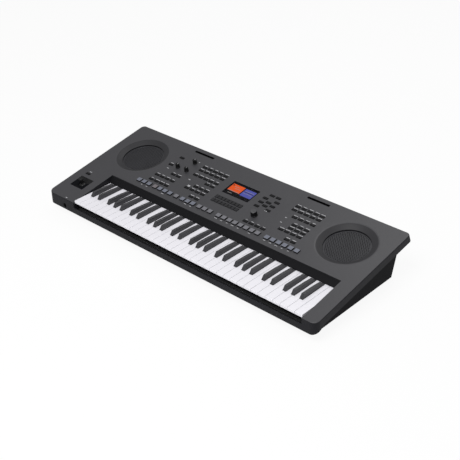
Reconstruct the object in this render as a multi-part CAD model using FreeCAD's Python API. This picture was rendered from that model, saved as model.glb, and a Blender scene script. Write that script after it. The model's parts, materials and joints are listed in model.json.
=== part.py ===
"""Arranger keyboard: sixty-one keys, a joystick, two speakers and a sloping control panel.

Frame: +X to the player's right, +Y to the rear, +Z up, millimetres.
The origin is at the middle of the footprint, on the table.
"""
import FreeCAD, Part
import math
import os

Vector = FreeCAD.Vector

# Case, seen from the player's side
case_width = 1006.0
case_depth = 390.0
panel_front_height = 61.5
panel_rear_height = 131.3
case_wall = 3.0
front_corner_radius = 19.0
rear_corner_radius = 13.0
panel_edge_radius = 2.5
skirt_height = 23.0
fascia_bottom_height = 25.5
fascia_rise_depth = 40.0
rear_lean = 8.5
seam_clearance = 0.3
cut_overrun = 20.0

# Bottom case and feet
foot_height = 5.0
foot_radius = 11.0
foot_side_inset = 100.0
foot_end_inset = 66.0
tray_side_inset = 26.0
tray_front_inset = 34.0
tray_rear_inset = 38.0
tray_rear_top_inset = 8.0
tray_lip_rise = 1.5

# Screws that close the case
screw_count_per_side = 4
screw_end_inset = 62.0
screw_radius = 1.7
screw_head_radius = 3.4
screw_head_height = 2.4
screw_bite = 11.0
screw_clearance = 0.05
screw_hole_clearance = 0.3
boss_radius = 4.5

# Keys
octave_count = 5
left_cheek_width = 113.8
right_cheek_width = 43.2
white_gap = 0.8
white_black_gap = 1.0
key_setback = 4.0
key_top_rise = 6.25
key_height = 15.75
key_tail_length = 196.0
key_wall = 1.7
key_lip_height = 8.0
key_lip_overhang = 10.0
key_head_length = 48.0
black_slope_length = 7.5
black_rise = 12.2
black_back_length = 43.0
black_back_drop = 1.4
black_shoulder_setback = 128.0
black_shoulder_drop = 4.0
black_step_setback = 136.0
black_step_rise = 0.3
black_bottom_rise = 4.0
black_foot_width = 10.2
black_top_width = 8.4
black_nose_rise = 0.6
black_shift_of_pair = 2.4
black_shift_of_three = 3.4

# Hinge end of the key combs
hinge_neck_length = 8.0
comb_bar_depth = 10.0
comb_bar_height = 3.0
comb_bar_gap = 0.6
comb_neck_width = 8.0
comb_first_rise = 0.5

# Key slot in the top case
slot_side_gap = 1.5
slot_rear_setback = 150.0
slot_wall_lean = 13.0
slot_wall_gap = 1.3
rail_drop = 8.5
cheek_wall_gap = 2.0
cheek_wall_rise = 5.0

# Key frame with its felt, contact board and hinge clamp
frame_drop = 20.5
frame_plate_thickness = 2.5
frame_side_margin = 14.0
frame_front_setback = 12.0
frame_rear_margin = 13.0
frame_leg_setback = 38.0
frame_leg_thickness = 2.5
felt_setback = 16.0
felt_depth = 20.0
felt_ridge_height = 5.5
felt_thickness = 3.0
contact_setback = 92.0
contact_depth = 34.0
contact_ridge_height = 3.0
board_thickness = 1.6
rubber_inset = 4.0
rubber_base_height = 2.0
rubber_dome_depth = 9.0
rubber_gap = 5.2
clamp_thickness = 2.0
clamp_leg_width = 8.0
clamp_leg_gap = 2.0

# Control panel: places across it, as shares of half the case's width
button_pitch_share = 0.0410
left_block_share = -0.5392
centre_block_share = -0.3371
right_block_share = 0.3631
cursor_block_share = 0.2008
cursor_top_share = 0.0219
page_row_share = 0.1968
standby_share = -0.5273
pad_first_share = -0.5930
pad_pitch_share = 0.0404
pad_group_gap_share = 0.0102
pad_section_gap_share = 0.0253
soft_key_pitch_share = 0.0249
volume_knob_share = -0.4197
left_knob_share = -0.4815
right_knob_share = -0.4098
dial_share = 0.2058
speaker_share = 0.7654
rest_slot_share = 0.4293

# Rows up the panel, as shares of the slope between the key slot and the rear edge
row_top_share = 0.7247
row_pitch_share = 0.1737
row_step_share = 0.0699
left_odd_row_share = 0.4152
right_odd_row_share = 0.4407
cursor_row_share = 0.5671
cursor_spread_share = 0.0334
cursor_corner_share = 0.0813
pad_row_share = 0.1128
dial_row_share = 0.3347
lens_row_share = 0.5933
speaker_row_share = 0.5108

# Caps on the control panel
button_gap = 5.1
button_depth = 7.0
button_rise = 1.9
pad_gap = 5.8
pad_depth = 13.4
pad_rise = 3.5
soft_key_gap = 2.1
soft_key_row_gap = 4.75
button_clearance = 0.6
button_travel = 1.0
web_drop = 4.7
web_thickness = 1.5
web_margin = 1.5
shaft_window = 18.0

# Boards behind the control panel
panel_board_side_margin = 5.5
panel_board_front_gap = 4.5
panel_board_rear_margin = 11.8
panel_board_speaker_gap = 2.5
panel_board_split = 2.0
panel_post_size = 7.0
switch_size = 6.0
switch_height = 2.8
switch_gap = 0.4
small_board_width = 40.0
small_board_depth = 16.0

# Display
lens_width = 97.0
lens_depth = 57.0
lens_thickness = 1.5
lens_clearance = 0.1
lens_ledge = 3.5
module_margin = 2.5
module_thickness = 6.0
module_clearance = 0.2
display_post_gap = 4.9

# Rotary controls
knob_radius = 6.3
knob_height = 12.5
knob_lift = 0.7
knob_skirt_radius = 6.9
knob_skirt_height = 2.2
knob_stem_radius = 2.0
dial_radius = 9.0
dial_height = 15.5
dial_skirt_radius = 9.6
stem_length = 8.4
stem_clearance = 0.05
pot_size = 11.0
pot_height = 5.0
bushing_radius = 3.4
bushing_rise = 9.0
shaft_hole_radius = 4.2

# Speakers
dish_radius = 81.8
dish_depth = 12.0
dish_step = 3.5
grille_radius = 64.0
grille_thickness = 1.5
grille_clearance = 0.2
ledge_width = 6.0
ledge_thickness = 2.5
rim_thickness = 1.2
rim_outer_radius = 64.0
rim_inner_radius = 53.0
basket_flange_radius = 66.0
basket_flange_thickness = 2.6
basket_throat_radius = 56.0
basket_waist_radius = 24.0
basket_waist_depth = 30.0
basket_back_depth = 40.0
basket_wall = 2.0
cone_apex_radius = 18.0
cone_apex_depth = 24.0
cone_thickness = 1.4
magnet_radius = 27.0
magnet_height = 14.0

# Music rest slots
rest_slot_rear_inset = 18.8
rest_slot_length = 76.0
rest_slot_width = 8.0

# Joystick and the button behind it
joystick_end_inset = 59.8
joystick_row = 80.8
joystick_button_end_inset = 42.3
joystick_button_gap = 17.3
joystick_plate_width = 53.0
joystick_plate_depth = 47.6
joystick_plate_thickness = 5.0
joystick_flange_margin = 4.0
joystick_flange_thickness = 2.5
joystick_cup_size = 44.0
joystick_cup_depth = 34.0
joystick_cup_wall = 2.5
joystick_dish_radius = 21.0
joystick_hole_radius = 10.0
joystick_pivot_depth = 18.0
dome_radius = 15.9
dome_thickness = 1.8
dome_rim_height = 9.5
stick_foot_radius = 4.6
stick_neck_radius = 3.2
stick_height = 10.0
stick_cap_radius = 6.8
stick_cap_height = 4.2
stick_cap_edge_radius = 1.2
stick_post_radius = 3.6
stick_block_width = 12.0
stick_block_depth = 10.0
stick_block_height = 8.0
gimbal_width = 30.0
gimbal_depth = 26.0
gimbal_height = 7.0
gimbal_rail = 5.0
gimbal_pin_radius = 1.5
gimbal_pin_bite = 2.0
pin_clearance = 0.06

# Headphone jack in the front fascia
headphone_end_inset = 71.5
headphone_height = 38.0
headphone_hole_radius = 7.0
headphone_face_radius = 6.7
headphone_recess = 1.6
jack_bore_radius = 3.25
jack_bore_length = 18.0
jack_body_width = 14.0
jack_body_height = 11.0
jack_body_length = 24.0

# Sockets on the rear wall: their rise up the wall, and places as shares of half the case's width
rear_socket_rise = 46.0
rear_jack_share = 0.2988
usb_share = 0.0598
dc_inlet_share = -0.1195
rear_jack_pitch = 34.0
rear_jack_count = 4
rear_jack_bush_radius = 4.8
rear_hole_clearance = 0.3
rear_jack_body_size = 13.0
usb_pitch = 36.0
usb_width = 15.0
usb_height = 8.6
usb_mouth_width = 12.4
usb_mouth_height = 5.4
usb_mouth_depth = 10.0
usb_length = 15.0
dc_inlet_size = 11.0
dc_inlet_length = 14.0
dc_bore_radius = 2.9
dc_bore_depth = 9.0
dc_pin_radius = 1.05

# Main board on posts over the floor
main_board_width = 260.0
main_board_front_gap = 31.0
main_board_rear_gap = 16.0
main_board_post_height = 6.0
main_board_post_size = 8.0
chip_share = 0.286
chip_height = 2.0
chip_count = 4

# Ribbon cables from the main board up to the panel boards
ribbon_width = 24.0
ribbon_thickness = 1.0
ribbon_x = 96.0
ribbon_end_gap = 0.2

# Places worked out from the sizes above
front_y = -(case_depth + rear_lean) / 2
rear_y = front_y + case_depth
skirt_rear_y = rear_y + rear_lean
half_width = case_width / 2
panel_rise = panel_rear_height - panel_front_height
panel_tan = panel_rise / case_depth
panel_angle = math.atan(panel_tan)
panel_length = math.hypot(case_depth, panel_rise)
panel_wall_drop = case_wall / math.cos(panel_angle)
floor_top = foot_height + case_wall

white_count = 7 * octave_count + 1
slot_left_x = -half_width + left_cheek_width
slot_right_x = half_width - right_cheek_width
key_left_x = slot_left_x + slot_side_gap
key_right_x = slot_right_x - slot_side_gap
white_pitch = (key_right_x - key_left_x) / white_count
key_front_y = front_y + key_setback
hinge_y = key_front_y + key_tail_length + hinge_neck_length
key_top_height = panel_front_height + key_top_rise
key_bottom_height = key_top_height - key_height
comb_first_level = key_bottom_height + comb_first_rise
rubber_top_height = key_bottom_height - rubber_gap
rail_top_height = key_bottom_height - rail_drop
black_bottom_height = key_bottom_height + black_bottom_rise
black_top_height = key_top_height + black_rise
black_step_top = key_top_height + black_step_rise
frame_plate_height = key_bottom_height - frame_drop
frame_top = frame_plate_height + frame_plate_thickness
cheek_wall_bottom = max(frame_top + cheek_wall_gap, fascia_bottom_height + cheek_wall_rise)
frame_rear_y = hinge_y + frame_rear_margin

control_front = (key_setback + slot_rear_setback) / math.cos(panel_angle)
control_depth = panel_length - control_front
row_top = control_front + row_top_share * control_depth
row_pitch = row_pitch_share * control_depth
row_step = row_step_share * control_depth
pad_row = control_front + pad_row_share * control_depth
cursor_row = control_front + cursor_row_share * control_depth
lens_row = control_front + lens_row_share * control_depth
speaker_row = control_front + speaker_row_share * control_depth
rest_slot_row = panel_length - rest_slot_rear_inset
button_pitch = button_pitch_share * half_width
button_width = button_pitch - button_gap
pad_pitch = pad_pitch_share * half_width
pad_width = pad_pitch - pad_gap
soft_key_pitch = soft_key_pitch_share * half_width
soft_key_width = soft_key_pitch - soft_key_gap
soft_key_depth = row_step - soft_key_row_gap
pad_first_x = pad_first_share * half_width
speaker_x = speaker_share * half_width
rest_slot_x = rest_slot_share * half_width

joystick_x = -half_width + joystick_end_inset
joystick_button_x = -half_width + joystick_button_end_inset
joystick_button_row = joystick_row + joystick_plate_depth / 2 + joystick_button_gap
headphone_x = -half_width + headphone_end_inset
window_width = lens_width - 2 * lens_ledge
window_depth = lens_depth - 2 * lens_ledge
web_bottom = -web_drop - web_thickness
panel_board_drop = web_drop + web_thickness + button_travel + switch_gap + switch_height
board_top = -panel_board_drop
panel_board_half_width = pad_width / 2 + panel_board_side_margin - pad_first_x
pad_web_front = pad_row - pad_depth / 2 - web_margin
panel_board_front_row = pad_web_front - panel_board_front_gap - 1.5 * panel_post_size
panel_board_rear_row = row_top + panel_board_rear_margin
dc_inlet_x = dc_inlet_share * half_width
main_board_front_y = frame_rear_y + main_board_front_gap
main_board_rear_y = rear_y - tray_rear_inset - main_board_rear_gap
main_board_depth = main_board_rear_y - main_board_front_y
chip_size = chip_share * main_board_depth


def panel_z(y):
    """Height of the panel's outer face at a place between front and rear."""
    return panel_front_height + (y - front_y) * panel_tan


def skirt_z(y):
    """Height of the skirt's lower edge, which climbs from the fascia to the sides."""
    along = y - front_y
    if along >= fascia_rise_depth:
        return panel_z(y) - skirt_height
    start = fascia_bottom_height
    finish = panel_z(front_y + fascia_rise_depth) - skirt_height
    return start + (finish - start) * along / fascia_rise_depth


def rear_face_y(z):
    """The rear face, which leans out from the panel's rear edge down to the skirt's lower edge."""
    foot = skirt_z(skirt_rear_y)
    return skirt_rear_y - rear_lean * (z - foot) / (panel_rear_height - foot)


def row(pair, step=0):
    """Distance up the panel of a button row: pairs of rows, counted from the rear."""
    return row_top - pair * row_pitch - step * row_step


# Small helpers for solids

def block(x0, x1, y0, y1, z0, z1):
    return Part.makeBox(x1 - x0, y1 - y0, z1 - z0, Vector(x0, y0, z0))


def centred_block(x, y, width, depth, z0, z1):
    return block(x - width / 2, x + width / 2, y - depth / 2, y + depth / 2, z0, z1)


def upright(radius, x, y, z0, z1):
    return Part.makeCylinder(radius, z1 - z0, Vector(x, y, z0))


def rod(radius, start, finish):
    along = finish - start
    return Part.makeCylinder(radius, along.Length, start, along)


def side_prism(points, x0, x1):
    """A side outline of (y, z) points, drawn out from x0 to x1."""
    corners = [Vector(x0, y, z) for y, z in points]
    corners.append(corners[0])
    return Part.Face(Part.makePolygon(corners)).extrude(Vector(x1 - x0, 0, 0))


def plan_prism(points, z0, z1):
    """A plan outline of (x, y) points, drawn up from z0 to z1."""
    corners = [Vector(x, y, z0) for x, y in points]
    corners.append(corners[0])
    return Part.Face(Part.makePolygon(corners)).extrude(Vector(0, 0, z1 - z0))


def turned(points, x, y):
    """A closed (radius, height) outline, turned about an upright axis at (x, y)."""
    corners = [Vector(x + radius, y, height) for radius, height in points]
    corners.append(corners[0])
    face = Part.Face(Part.makePolygon(corners))
    return face.revolve(Vector(x, y, 0), Vector(0, 0, 1), 360)


def offset_polyline(points, distance):
    """The open polyline moved to its left by a distance, with its corners kept sharp."""
    lines = []
    for (ay, az), (by, bz) in zip(points, points[1:]):
        length = math.hypot(by - ay, bz - az)
        shift_y = -(bz - az) / length * distance
        shift_z = (by - ay) / length * distance
        lines.append((ay + shift_y, az + shift_z, by - ay, bz - az))
    moved = [lines[0][:2]]
    for (py, pz, py_run, pz_run), (qy, qz, qy_run, qz_run) in zip(lines, lines[1:]):
        cross = py_run * qz_run - pz_run * qy_run
        share = ((qy - py) * qz_run - (qz - pz) * qy_run) / cross
        moved.append((py + share * py_run, pz + share * pz_run))
    last = lines[-1]
    moved.append((last[0] + last[2], last[1] + last[3]))
    return moved


def united(shapes):
    first, rest = shapes[0], shapes[1:]
    if not rest:
        return first
    return first.fuse(rest).removeSplitter()


def on_panel(shape):
    """From the panel's own frame (x, up the slope, out of the panel) to the part's frame."""
    moved = shape.copy()
    moved.rotate(Vector(0, 0, 0), Vector(1, 0, 0), math.degrees(panel_angle))
    moved.translate(Vector(0, front_y, panel_front_height))
    return moved


def rounded_case(inset, z0, z1):
    """The case's plan with its rounded corners and leaning rear, drawn in by an inset."""
    outline = [
        (front_y + inset, z0),
        (rear_face_y(z0) - inset, z0),
        (rear_face_y(z1) - inset, z1),
        (front_y + inset, z1),
    ]
    body = side_prism(outline, -half_width + inset, half_width - inset)
    front_edges = [edge for edge in body.Edges if is_upright(edge) and edge.CenterOfMass.y < 0]
    body = body.makeFillet(front_corner_radius - inset, front_edges)
    rear_edges = [edge for edge in body.Edges if is_upright(edge) and edge.CenterOfMass.y > 0]
    return body.makeFillet(rear_corner_radius - inset, rear_edges)


def is_upright(edge):
    run = edge.Vertexes[-1].Point - edge.Vertexes[0].Point
    return abs(run.z) > abs(run.x) + abs(run.y)


# Key layout

def black_centres(octave):
    """Middles of the five black keys of an octave."""
    left = key_left_x + octave * 7 * white_pitch
    return [
        left + 1 * white_pitch - black_shift_of_pair,
        left + 2 * white_pitch + black_shift_of_pair,
        left + 4 * white_pitch - black_shift_of_three,
        left + 5 * white_pitch,
        left + 6 * white_pitch + black_shift_of_three,
    ]


def all_black_centres():
    return [x for octave in range(octave_count) for x in black_centres(octave)]


def tail_limits(index):
    """Left and right side of a white key, beside its head and beside the black keys."""
    head_left = key_left_x + index * white_pitch + white_gap / 2
    head_right = head_left + white_pitch - white_gap
    tail_left, tail_right = head_left, head_right
    reach = black_foot_width / 2 + white_black_gap
    for x in all_black_centres():
        if x - reach < head_left < x + reach:
            tail_left = x + reach
        if x - reach < head_right < x + reach:
            tail_right = x - reach
    return head_left, head_right, tail_left, tail_right


# Button layout: every cap is (x, distance up the panel, width, depth)

def button_row(first_x, columns, up):
    return [(first_x + column * button_pitch, up, button_width, button_depth) for column in columns]


def left_caps():
    first_x = left_block_share * half_width
    odd_row = control_front + left_odd_row_share * control_depth
    return (
        button_row(first_x, [0], row(1))
        + button_row(first_x, [2, 3], odd_row)
        + button_row(first_x, [0, 1, 2, 3], row(2, 1))
        + button_row(first_x, [0, 1, 2, 3], row(3))
    )


def centre_caps():
    first_x = centre_block_share * half_width
    return (
        button_row(first_x, [0, 1, 2, 3, 4], row(0))
        + button_row(first_x, [0, 1, 2, 3, 4], row(0, 1))
        + button_row(first_x, [0, 1, 2, 3, 4], row(1))
        + button_row(first_x, [3, 4], row(1, 1))
        + button_row(first_x, [2, 3, 4], row(2))
        + button_row(first_x, [1, 2, 3, 4], row(2, 1))
        + button_row(first_x, [3, 4], row(3))
    )


def right_caps():
    first_x = right_block_share * half_width
    odd_row = control_front + right_odd_row_share * control_depth
    return (
        button_row(first_x, [0, 1, 2, 3, 4], row(0))
        + button_row(first_x, [0, 1, 2, 3, 4], row(0, 1))
        + button_row(first_x, [1, 2, 3, 4], row(1))
        + button_row(first_x, [2, 3, 4], odd_row)
        + button_row(first_x, [2, 3, 4], row(2))
        + button_row(first_x, [1, 2, 3, 4], row(2, 1))
        + button_row(first_x, [3, 4], row(3))
    )


def cursor_caps():
    middle_x = cursor_block_share * half_width
    left_x = middle_x - button_pitch
    size = (button_width, button_depth)
    caps = button_row(left_x, [0, 2], cursor_row)
    for side in (-1, 1):
        caps.append((middle_x, cursor_row + side * cursor_spread_share * control_depth) + size)
        caps.append((middle_x + side * cursor_top_share * half_width, row_top) + size)
        caps += button_row(left_x, [0, 2], cursor_row + side * cursor_corner_share * control_depth)
    return caps + button_row(page_row_share * half_width, [0, 1, 2, 3], row(3))


def pad_caps():
    """Middle of every pad, in two banks left and right of the middle of the panel."""
    banks = []
    x = pad_first_x
    section_gap = pad_section_gap_share * half_width
    for groups, gap_share in (((3, 4, 1, 3, 3), pad_group_gap_share), ((8, 6), pad_section_gap_share)):
        bank = []
        gap = gap_share * half_width
        for count in groups:
            for _ in range(count):
                bank.append((x, pad_row, pad_width, pad_depth))
                x += pad_pitch
            x += gap
        x += section_gap - gap
        banks.append(bank)
    return banks


def soft_caps():
    return [
        ((column - 3.5) * soft_key_pitch, up, soft_key_width, soft_key_depth)
        for up in (row(2), row(2, 1))
        for column in range(8)
    ]


def bank_layout():
    left_pads, right_pads = pad_caps()
    size = (button_width, button_depth)
    standby = (standby_share * half_width, row_top) + size
    joystick_button = (joystick_button_x, joystick_button_row) + size
    return {
        "left_buttons": (left_caps(), button_rise),
        "centre_buttons": (centre_caps(), button_rise),
        "cursor_buttons": (cursor_caps(), button_rise),
        "right_buttons": (right_caps(), button_rise),
        "soft_keys": (soft_caps(), button_rise),
        "left_pads": (left_pads, pad_rise),
        "right_pads": (right_pads, pad_rise),
        "standby_button": ([standby], button_rise),
        "joystick_button": ([joystick_button], button_rise),
    }


def shaft_places():
    """Where the rotary controls come through the panel."""
    return {
        "volume_knob": (volume_knob_share * half_width, row_top),
        "left_knob": (left_knob_share * half_width, row(1)),
        "right_knob": (right_knob_share * half_width, row(1)),
        "data_dial": (dial_share * half_width, control_front + dial_row_share * control_depth),
    }


# Top case

def top_case():
    behind = skirt_rear_y + cut_overrun
    outline = [
        (front_y, fascia_bottom_height),
        (front_y + fascia_rise_depth, skirt_z(front_y + fascia_rise_depth)),
        (behind, skirt_z(behind)),
        (behind, panel_z(behind)),
        (front_y, panel_front_height),
    ]
    outer = side_prism(outline, -half_width, half_width)
    outer = outer.common(rounded_case(0, 0, panel_rear_height + cut_overrun))
    top_face = max(outer.Faces, key=lambda face: face.CenterOfMass.z * face.Area)
    outer = outer.makeFillet(panel_edge_radius, top_face.Edges)
    inner_front = front_y + case_wall
    hollow = side_prism(
        [
            (inner_front, 0),
            (behind, 0),
            (behind, panel_z(behind) - panel_wall_drop),
            (inner_front, panel_z(inner_front) - panel_wall_drop),
        ],
        -half_width,
        half_width,
    )
    hollow = hollow.common(rounded_case(case_wall, 0, panel_rear_height))
    shell = outer.cut(hollow)
    shell = shell.fuse(slot_walls() + speaker_cups() + case_bosses() + board_posts())
    cuts = [slot_opening()] + panel_openings() + boss_bores()
    cuts.append(rod(headphone_hole_radius, *headphone_span(front_y - cut_overrun, front_y + case_wall)))
    return shell.cut(cuts).removeSplitter()


def slot_rear_line():
    """The leaning wall behind the keys: its top at the panel and its foot over the white keys."""
    top_y = key_front_y + slot_rear_setback
    return (top_y, panel_z(top_y)), (top_y - slot_wall_lean, key_top_height + slot_wall_gap)


def slot_walls():
    (top_y, top_z), (foot_y, foot_z) = slot_rear_line()
    buried = panel_wall_drop / 2
    rear = side_prism(
        [
            (top_y, top_z - buried),
            (foot_y, foot_z),
            (foot_y + case_wall, foot_z),
            (top_y + case_wall, top_z - buried),
        ],
        slot_left_x - case_wall,
        slot_right_x + case_wall,
    )
    front = front_y + case_wall / 2
    cheek = [
        (front, cheek_wall_bottom),
        (top_y + case_wall, cheek_wall_bottom),
        (top_y + case_wall, panel_z(top_y + case_wall) - buried),
        (front, panel_z(front) - buried),
    ]
    return [
        rear,
        side_prism(cheek, slot_left_x - case_wall, slot_left_x),
        side_prism(cheek, slot_right_x, slot_right_x + case_wall),
    ]


def slot_opening():
    (top_y, top_z), (foot_y, foot_z) = slot_rear_line()
    return side_prism(
        [
            (front_y - cut_overrun, rail_top_height),
            (foot_y, rail_top_height),
            (foot_y, foot_z),
            (top_y, top_z),
            (top_y, top_z + cut_overrun),
            (front_y - cut_overrun, top_z + cut_overrun),
        ],
        slot_left_x,
        slot_right_x,
    )


def speaker_cups():
    """The dished rings round the speakers and the ledges that hold their grilles."""
    foot = -dish_depth - grille_thickness - ledge_thickness
    bore = grille_radius - ledge_width
    step_top = -dish_depth + dish_step
    outline = [
        (dish_radius + case_wall, -case_wall / 2),
        (grille_radius, -case_wall / 2),
        (grille_radius, -dish_depth),
        (grille_radius + grille_clearance, -dish_depth),
        (grille_radius + grille_clearance, -dish_depth - grille_thickness),
        (bore, -dish_depth - grille_thickness),
        (bore, foot),
        (grille_radius + case_wall, foot),
        (grille_radius + case_wall, step_top - case_wall / 2),
    ]
    return [on_panel(turned(outline, side * speaker_x, speaker_row)) for side in (-1, 1)]


def panel_openings():
    """Every opening cut through the panel."""
    cuts = []
    for caps, _ in bank_layout().values():
        for x, up, width, depth in caps:
            wide = width + 2 * button_clearance
            deep = depth + 2 * button_clearance
            cuts.append(centred_block(x, up, wide, deep, -2 * case_wall, cut_overrun))
    for x, up in shaft_places().values():
        cuts.append(upright(shaft_hole_radius, x, up, -2 * case_wall, cut_overrun))
    for side in (-1, 1):
        cuts.append(
            centred_block(
                side * rest_slot_x,
                rest_slot_row,
                rest_slot_length,
                rest_slot_width,
                -2 * case_wall,
                cut_overrun,
            )
        )
        dish = [
            (0, cut_overrun),
            (0, -dish_depth),
            (grille_radius, -dish_depth),
            (grille_radius, -dish_depth + dish_step),
            (dish_radius, 0),
            (dish_radius, cut_overrun),
        ]
        cuts.append(turned(dish, side * speaker_x, speaker_row))
    pocket_depth = lens_thickness + lens_clearance
    pocket_width = lens_width + 2 * lens_clearance
    pocket_length = lens_depth + 2 * lens_clearance
    cuts.append(centred_block(0, lens_row, pocket_width, pocket_length, -pocket_depth, cut_overrun))
    cuts.append(centred_block(0, lens_row, window_width, window_depth, -2 * case_wall, cut_overrun))
    plate_width = joystick_plate_width + 2 * seam_clearance
    plate_depth = joystick_plate_depth + 2 * seam_clearance
    cuts.append(
        centred_block(joystick_x, joystick_row, plate_width, plate_depth, -2 * case_wall, cut_overrun)
    )
    return [on_panel(cut) for cut in cuts]


def boss_places():
    """Where the screws close the case, along the ledges on both sides."""
    x = half_width - (tray_side_inset + case_wall) / 2
    span = case_depth - 2 * screw_end_inset
    places = []
    for side in (-1, 1):
        for index in range(screw_count_per_side):
            places.append((side * x, front_y + screw_end_inset + span * index / (screw_count_per_side - 1)))
    return places


def boss_foot(y):
    return skirt_z(y + boss_radius) + case_wall + seam_clearance


def case_bosses():
    return [
        upright(boss_radius, x, y, boss_foot(y), panel_z(y - boss_radius) - panel_wall_drop / 2)
        for x, y in boss_places()
    ]


def boss_bores():
    depth = screw_bite + screw_head_height
    return [
        upright(screw_radius + screw_clearance, x, y, boss_foot(y) - case_wall, boss_foot(y) + depth)
        for x, y in boss_places()
    ]


def board_posts():
    """Posts that hang the panel boards from the underside of the panel."""
    posts = []
    inset = panel_post_size
    for x in (-panel_board_half_width + inset, panel_board_half_width - inset):
        for up in (panel_board_front_row + inset, panel_board_rear_row - inset):
            posts.append(centred_block(x, up, inset, inset, board_top, -case_wall / 2))
    wide = 2 * panel_post_size
    deep = panel_post_size / 2
    behind_display = lens_row + window_depth / 2 + 2 * module_margin + display_post_gap + deep / 2
    for up in (behind_display, pad_row + pad_depth / 2 + web_margin + inset):
        posts.append(centred_block(0, up, wide, deep, board_top, -case_wall / 2))
    side_x = (small_board_width - panel_post_size) / 2
    for x in (joystick_button_x - side_x, joystick_button_x + side_x):
        posts.append(centred_block(x, joystick_button_row, inset, inset, board_top, -case_wall / 2))
    return [on_panel(post) for post in posts]


# Bottom case

def tray_line():
    """Front slope, floor and rear wall of the bottom case, seen from the side."""
    rear_top_y = rear_y - tray_rear_top_inset
    front_top_y = front_y + case_wall + seam_clearance
    return [
        (front_top_y, skirt_z(front_top_y) + tray_lip_rise),
        (front_y + tray_front_inset, foot_height),
        (rear_y - tray_rear_inset, foot_height),
        (rear_top_y, skirt_z(rear_top_y)),
    ]


def ledge_line():
    """The ledge that closes the case's underside out to the skirt."""
    inset = case_wall + seam_clearance
    behind = skirt_rear_y + cut_overrun
    return [
        (front_y + inset, skirt_z(front_y + inset)),
        (front_y + fascia_rise_depth, skirt_z(front_y + fascia_rise_depth)),
        (behind, skirt_z(behind)),
    ]


def bottom_case():
    tray_half = half_width - tray_side_inset
    line = tray_line()
    rise_y = front_y + fascia_rise_depth
    tray = side_prism(line + [(rise_y, skirt_z(rise_y))], -tray_half, tray_half)
    ledge = ledge_line()
    lifted = [(y, z + case_wall) for y, z in reversed(ledge)]
    inset = case_wall + seam_clearance
    rim = side_prism(ledge + lifted, -half_width, half_width)
    rim = rim.common(rounded_case(inset, 0, panel_rear_height))
    inner = offset_polyline(line, case_wall)
    top = panel_rear_height
    hollow = side_prism(
        inner + [(inner[-1][0], top), (inner[0][0], top)], -tray_half + case_wall, tray_half - case_wall
    )
    case = united([tray, rim]).cut(hollow)
    case = case.fuse(main_board_posts())
    cuts = [
        upright(screw_radius + screw_hole_clearance, x, y, 0, panel_rear_height) for x, y in boss_places()
    ]
    return case.cut(cuts + rear_openings()).removeSplitter()


def main_board_places():
    inset = main_board_post_size
    return [
        (x, y)
        for x in (-main_board_width / 2 + inset, main_board_width / 2 - inset)
        for y in (main_board_front_y + inset, main_board_rear_y - inset)
    ]


def main_board_posts():
    size = main_board_post_size
    bottom = foot_height + case_wall / 2
    top = floor_top + main_board_post_height
    return [centred_block(x, y, size, size, bottom, top) for x, y in main_board_places()]


def rear_wall_frame():
    """Foot of the rear wall's outer face, and its lean from upright."""
    _, _, foot, top = tray_line()
    return foot, math.atan2(top[0] - foot[0], top[1] - foot[1])


def on_rear_wall(shape):
    """From a frame with +Y out of the rear wall and +Z up the wall to the part's frame."""
    (foot_y, foot_z), lean = rear_wall_frame()
    moved = shape.copy()
    moved.rotate(Vector(0, 0, 0), Vector(1, 0, 0), -math.degrees(lean))
    moved.translate(Vector(0, foot_y, foot_z))
    return moved


def rear_jack_xs():
    return [rear_jack_share * half_width + index * rear_jack_pitch for index in range(rear_jack_count)]


def usb_xs():
    first = usb_share * half_width
    return [first, first + usb_pitch]


def usb_face():
    """The level ports: where their faces lie and the height of their middle."""
    (foot_y, foot_z), lean = rear_wall_frame()
    middle_z = foot_z + rear_socket_rise * math.cos(lean)
    return foot_y + (middle_z - usb_height / 2 - foot_z) * math.tan(lean), middle_z


def rear_openings():
    cuts = []
    radius = rear_jack_bush_radius + rear_hole_clearance
    for x in rear_jack_xs():
        inside = Vector(x, -2 * case_wall, rear_socket_rise)
        cuts.append(rod(radius, inside, Vector(x, cut_overrun, rear_socket_rise)))
    half = dc_inlet_size / 2 + rear_hole_clearance
    cuts.append(
        block(
            dc_inlet_x - half,
            dc_inlet_x + half,
            -2 * case_wall,
            cut_overrun,
            rear_socket_rise - half,
            rear_socket_rise + half,
        )
    )
    cuts = [on_rear_wall(cut) for cut in cuts]
    face_y, middle_z = usb_face()
    half_wide = usb_width / 2 + rear_hole_clearance
    half_high = usb_height / 2 + rear_hole_clearance
    for x in usb_xs():
        cuts.append(
            block(
                x - half_wide,
                x + half_wide,
                face_y - 2 * case_wall,
                face_y + cut_overrun,
                middle_z - half_high,
                middle_z + half_high,
            )
        )
    return cuts


def rubber_feet():
    feet = []
    for x in (-half_width + foot_side_inset, 0, half_width - foot_side_inset):
        for y in (front_y + foot_end_inset, rear_y - foot_end_inset):
            feet.append(upright(foot_radius, x, y, 0, foot_height))
    return Part.makeCompound(feet)


def case_screws():
    screws = []
    for x, y in boss_places():
        under = skirt_z(y - screw_head_radius) - seam_clearance
        head = upright(screw_head_radius, x, y, under - screw_head_height, under)
        shank = upright(screw_radius, x, y, under - screw_head_height, boss_foot(y) + screw_bite)
        screws.append(head.fuse(shank).removeSplitter())
    return Part.makeCompound(screws)


# Keys, moulded in combs as they are on the real keybed

def comb_level(level):
    """Underside of a comb's bar: three combs of an octave are stacked on the hinge rail."""
    return comb_first_level + level * (comb_bar_height + comb_bar_gap)


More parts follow.
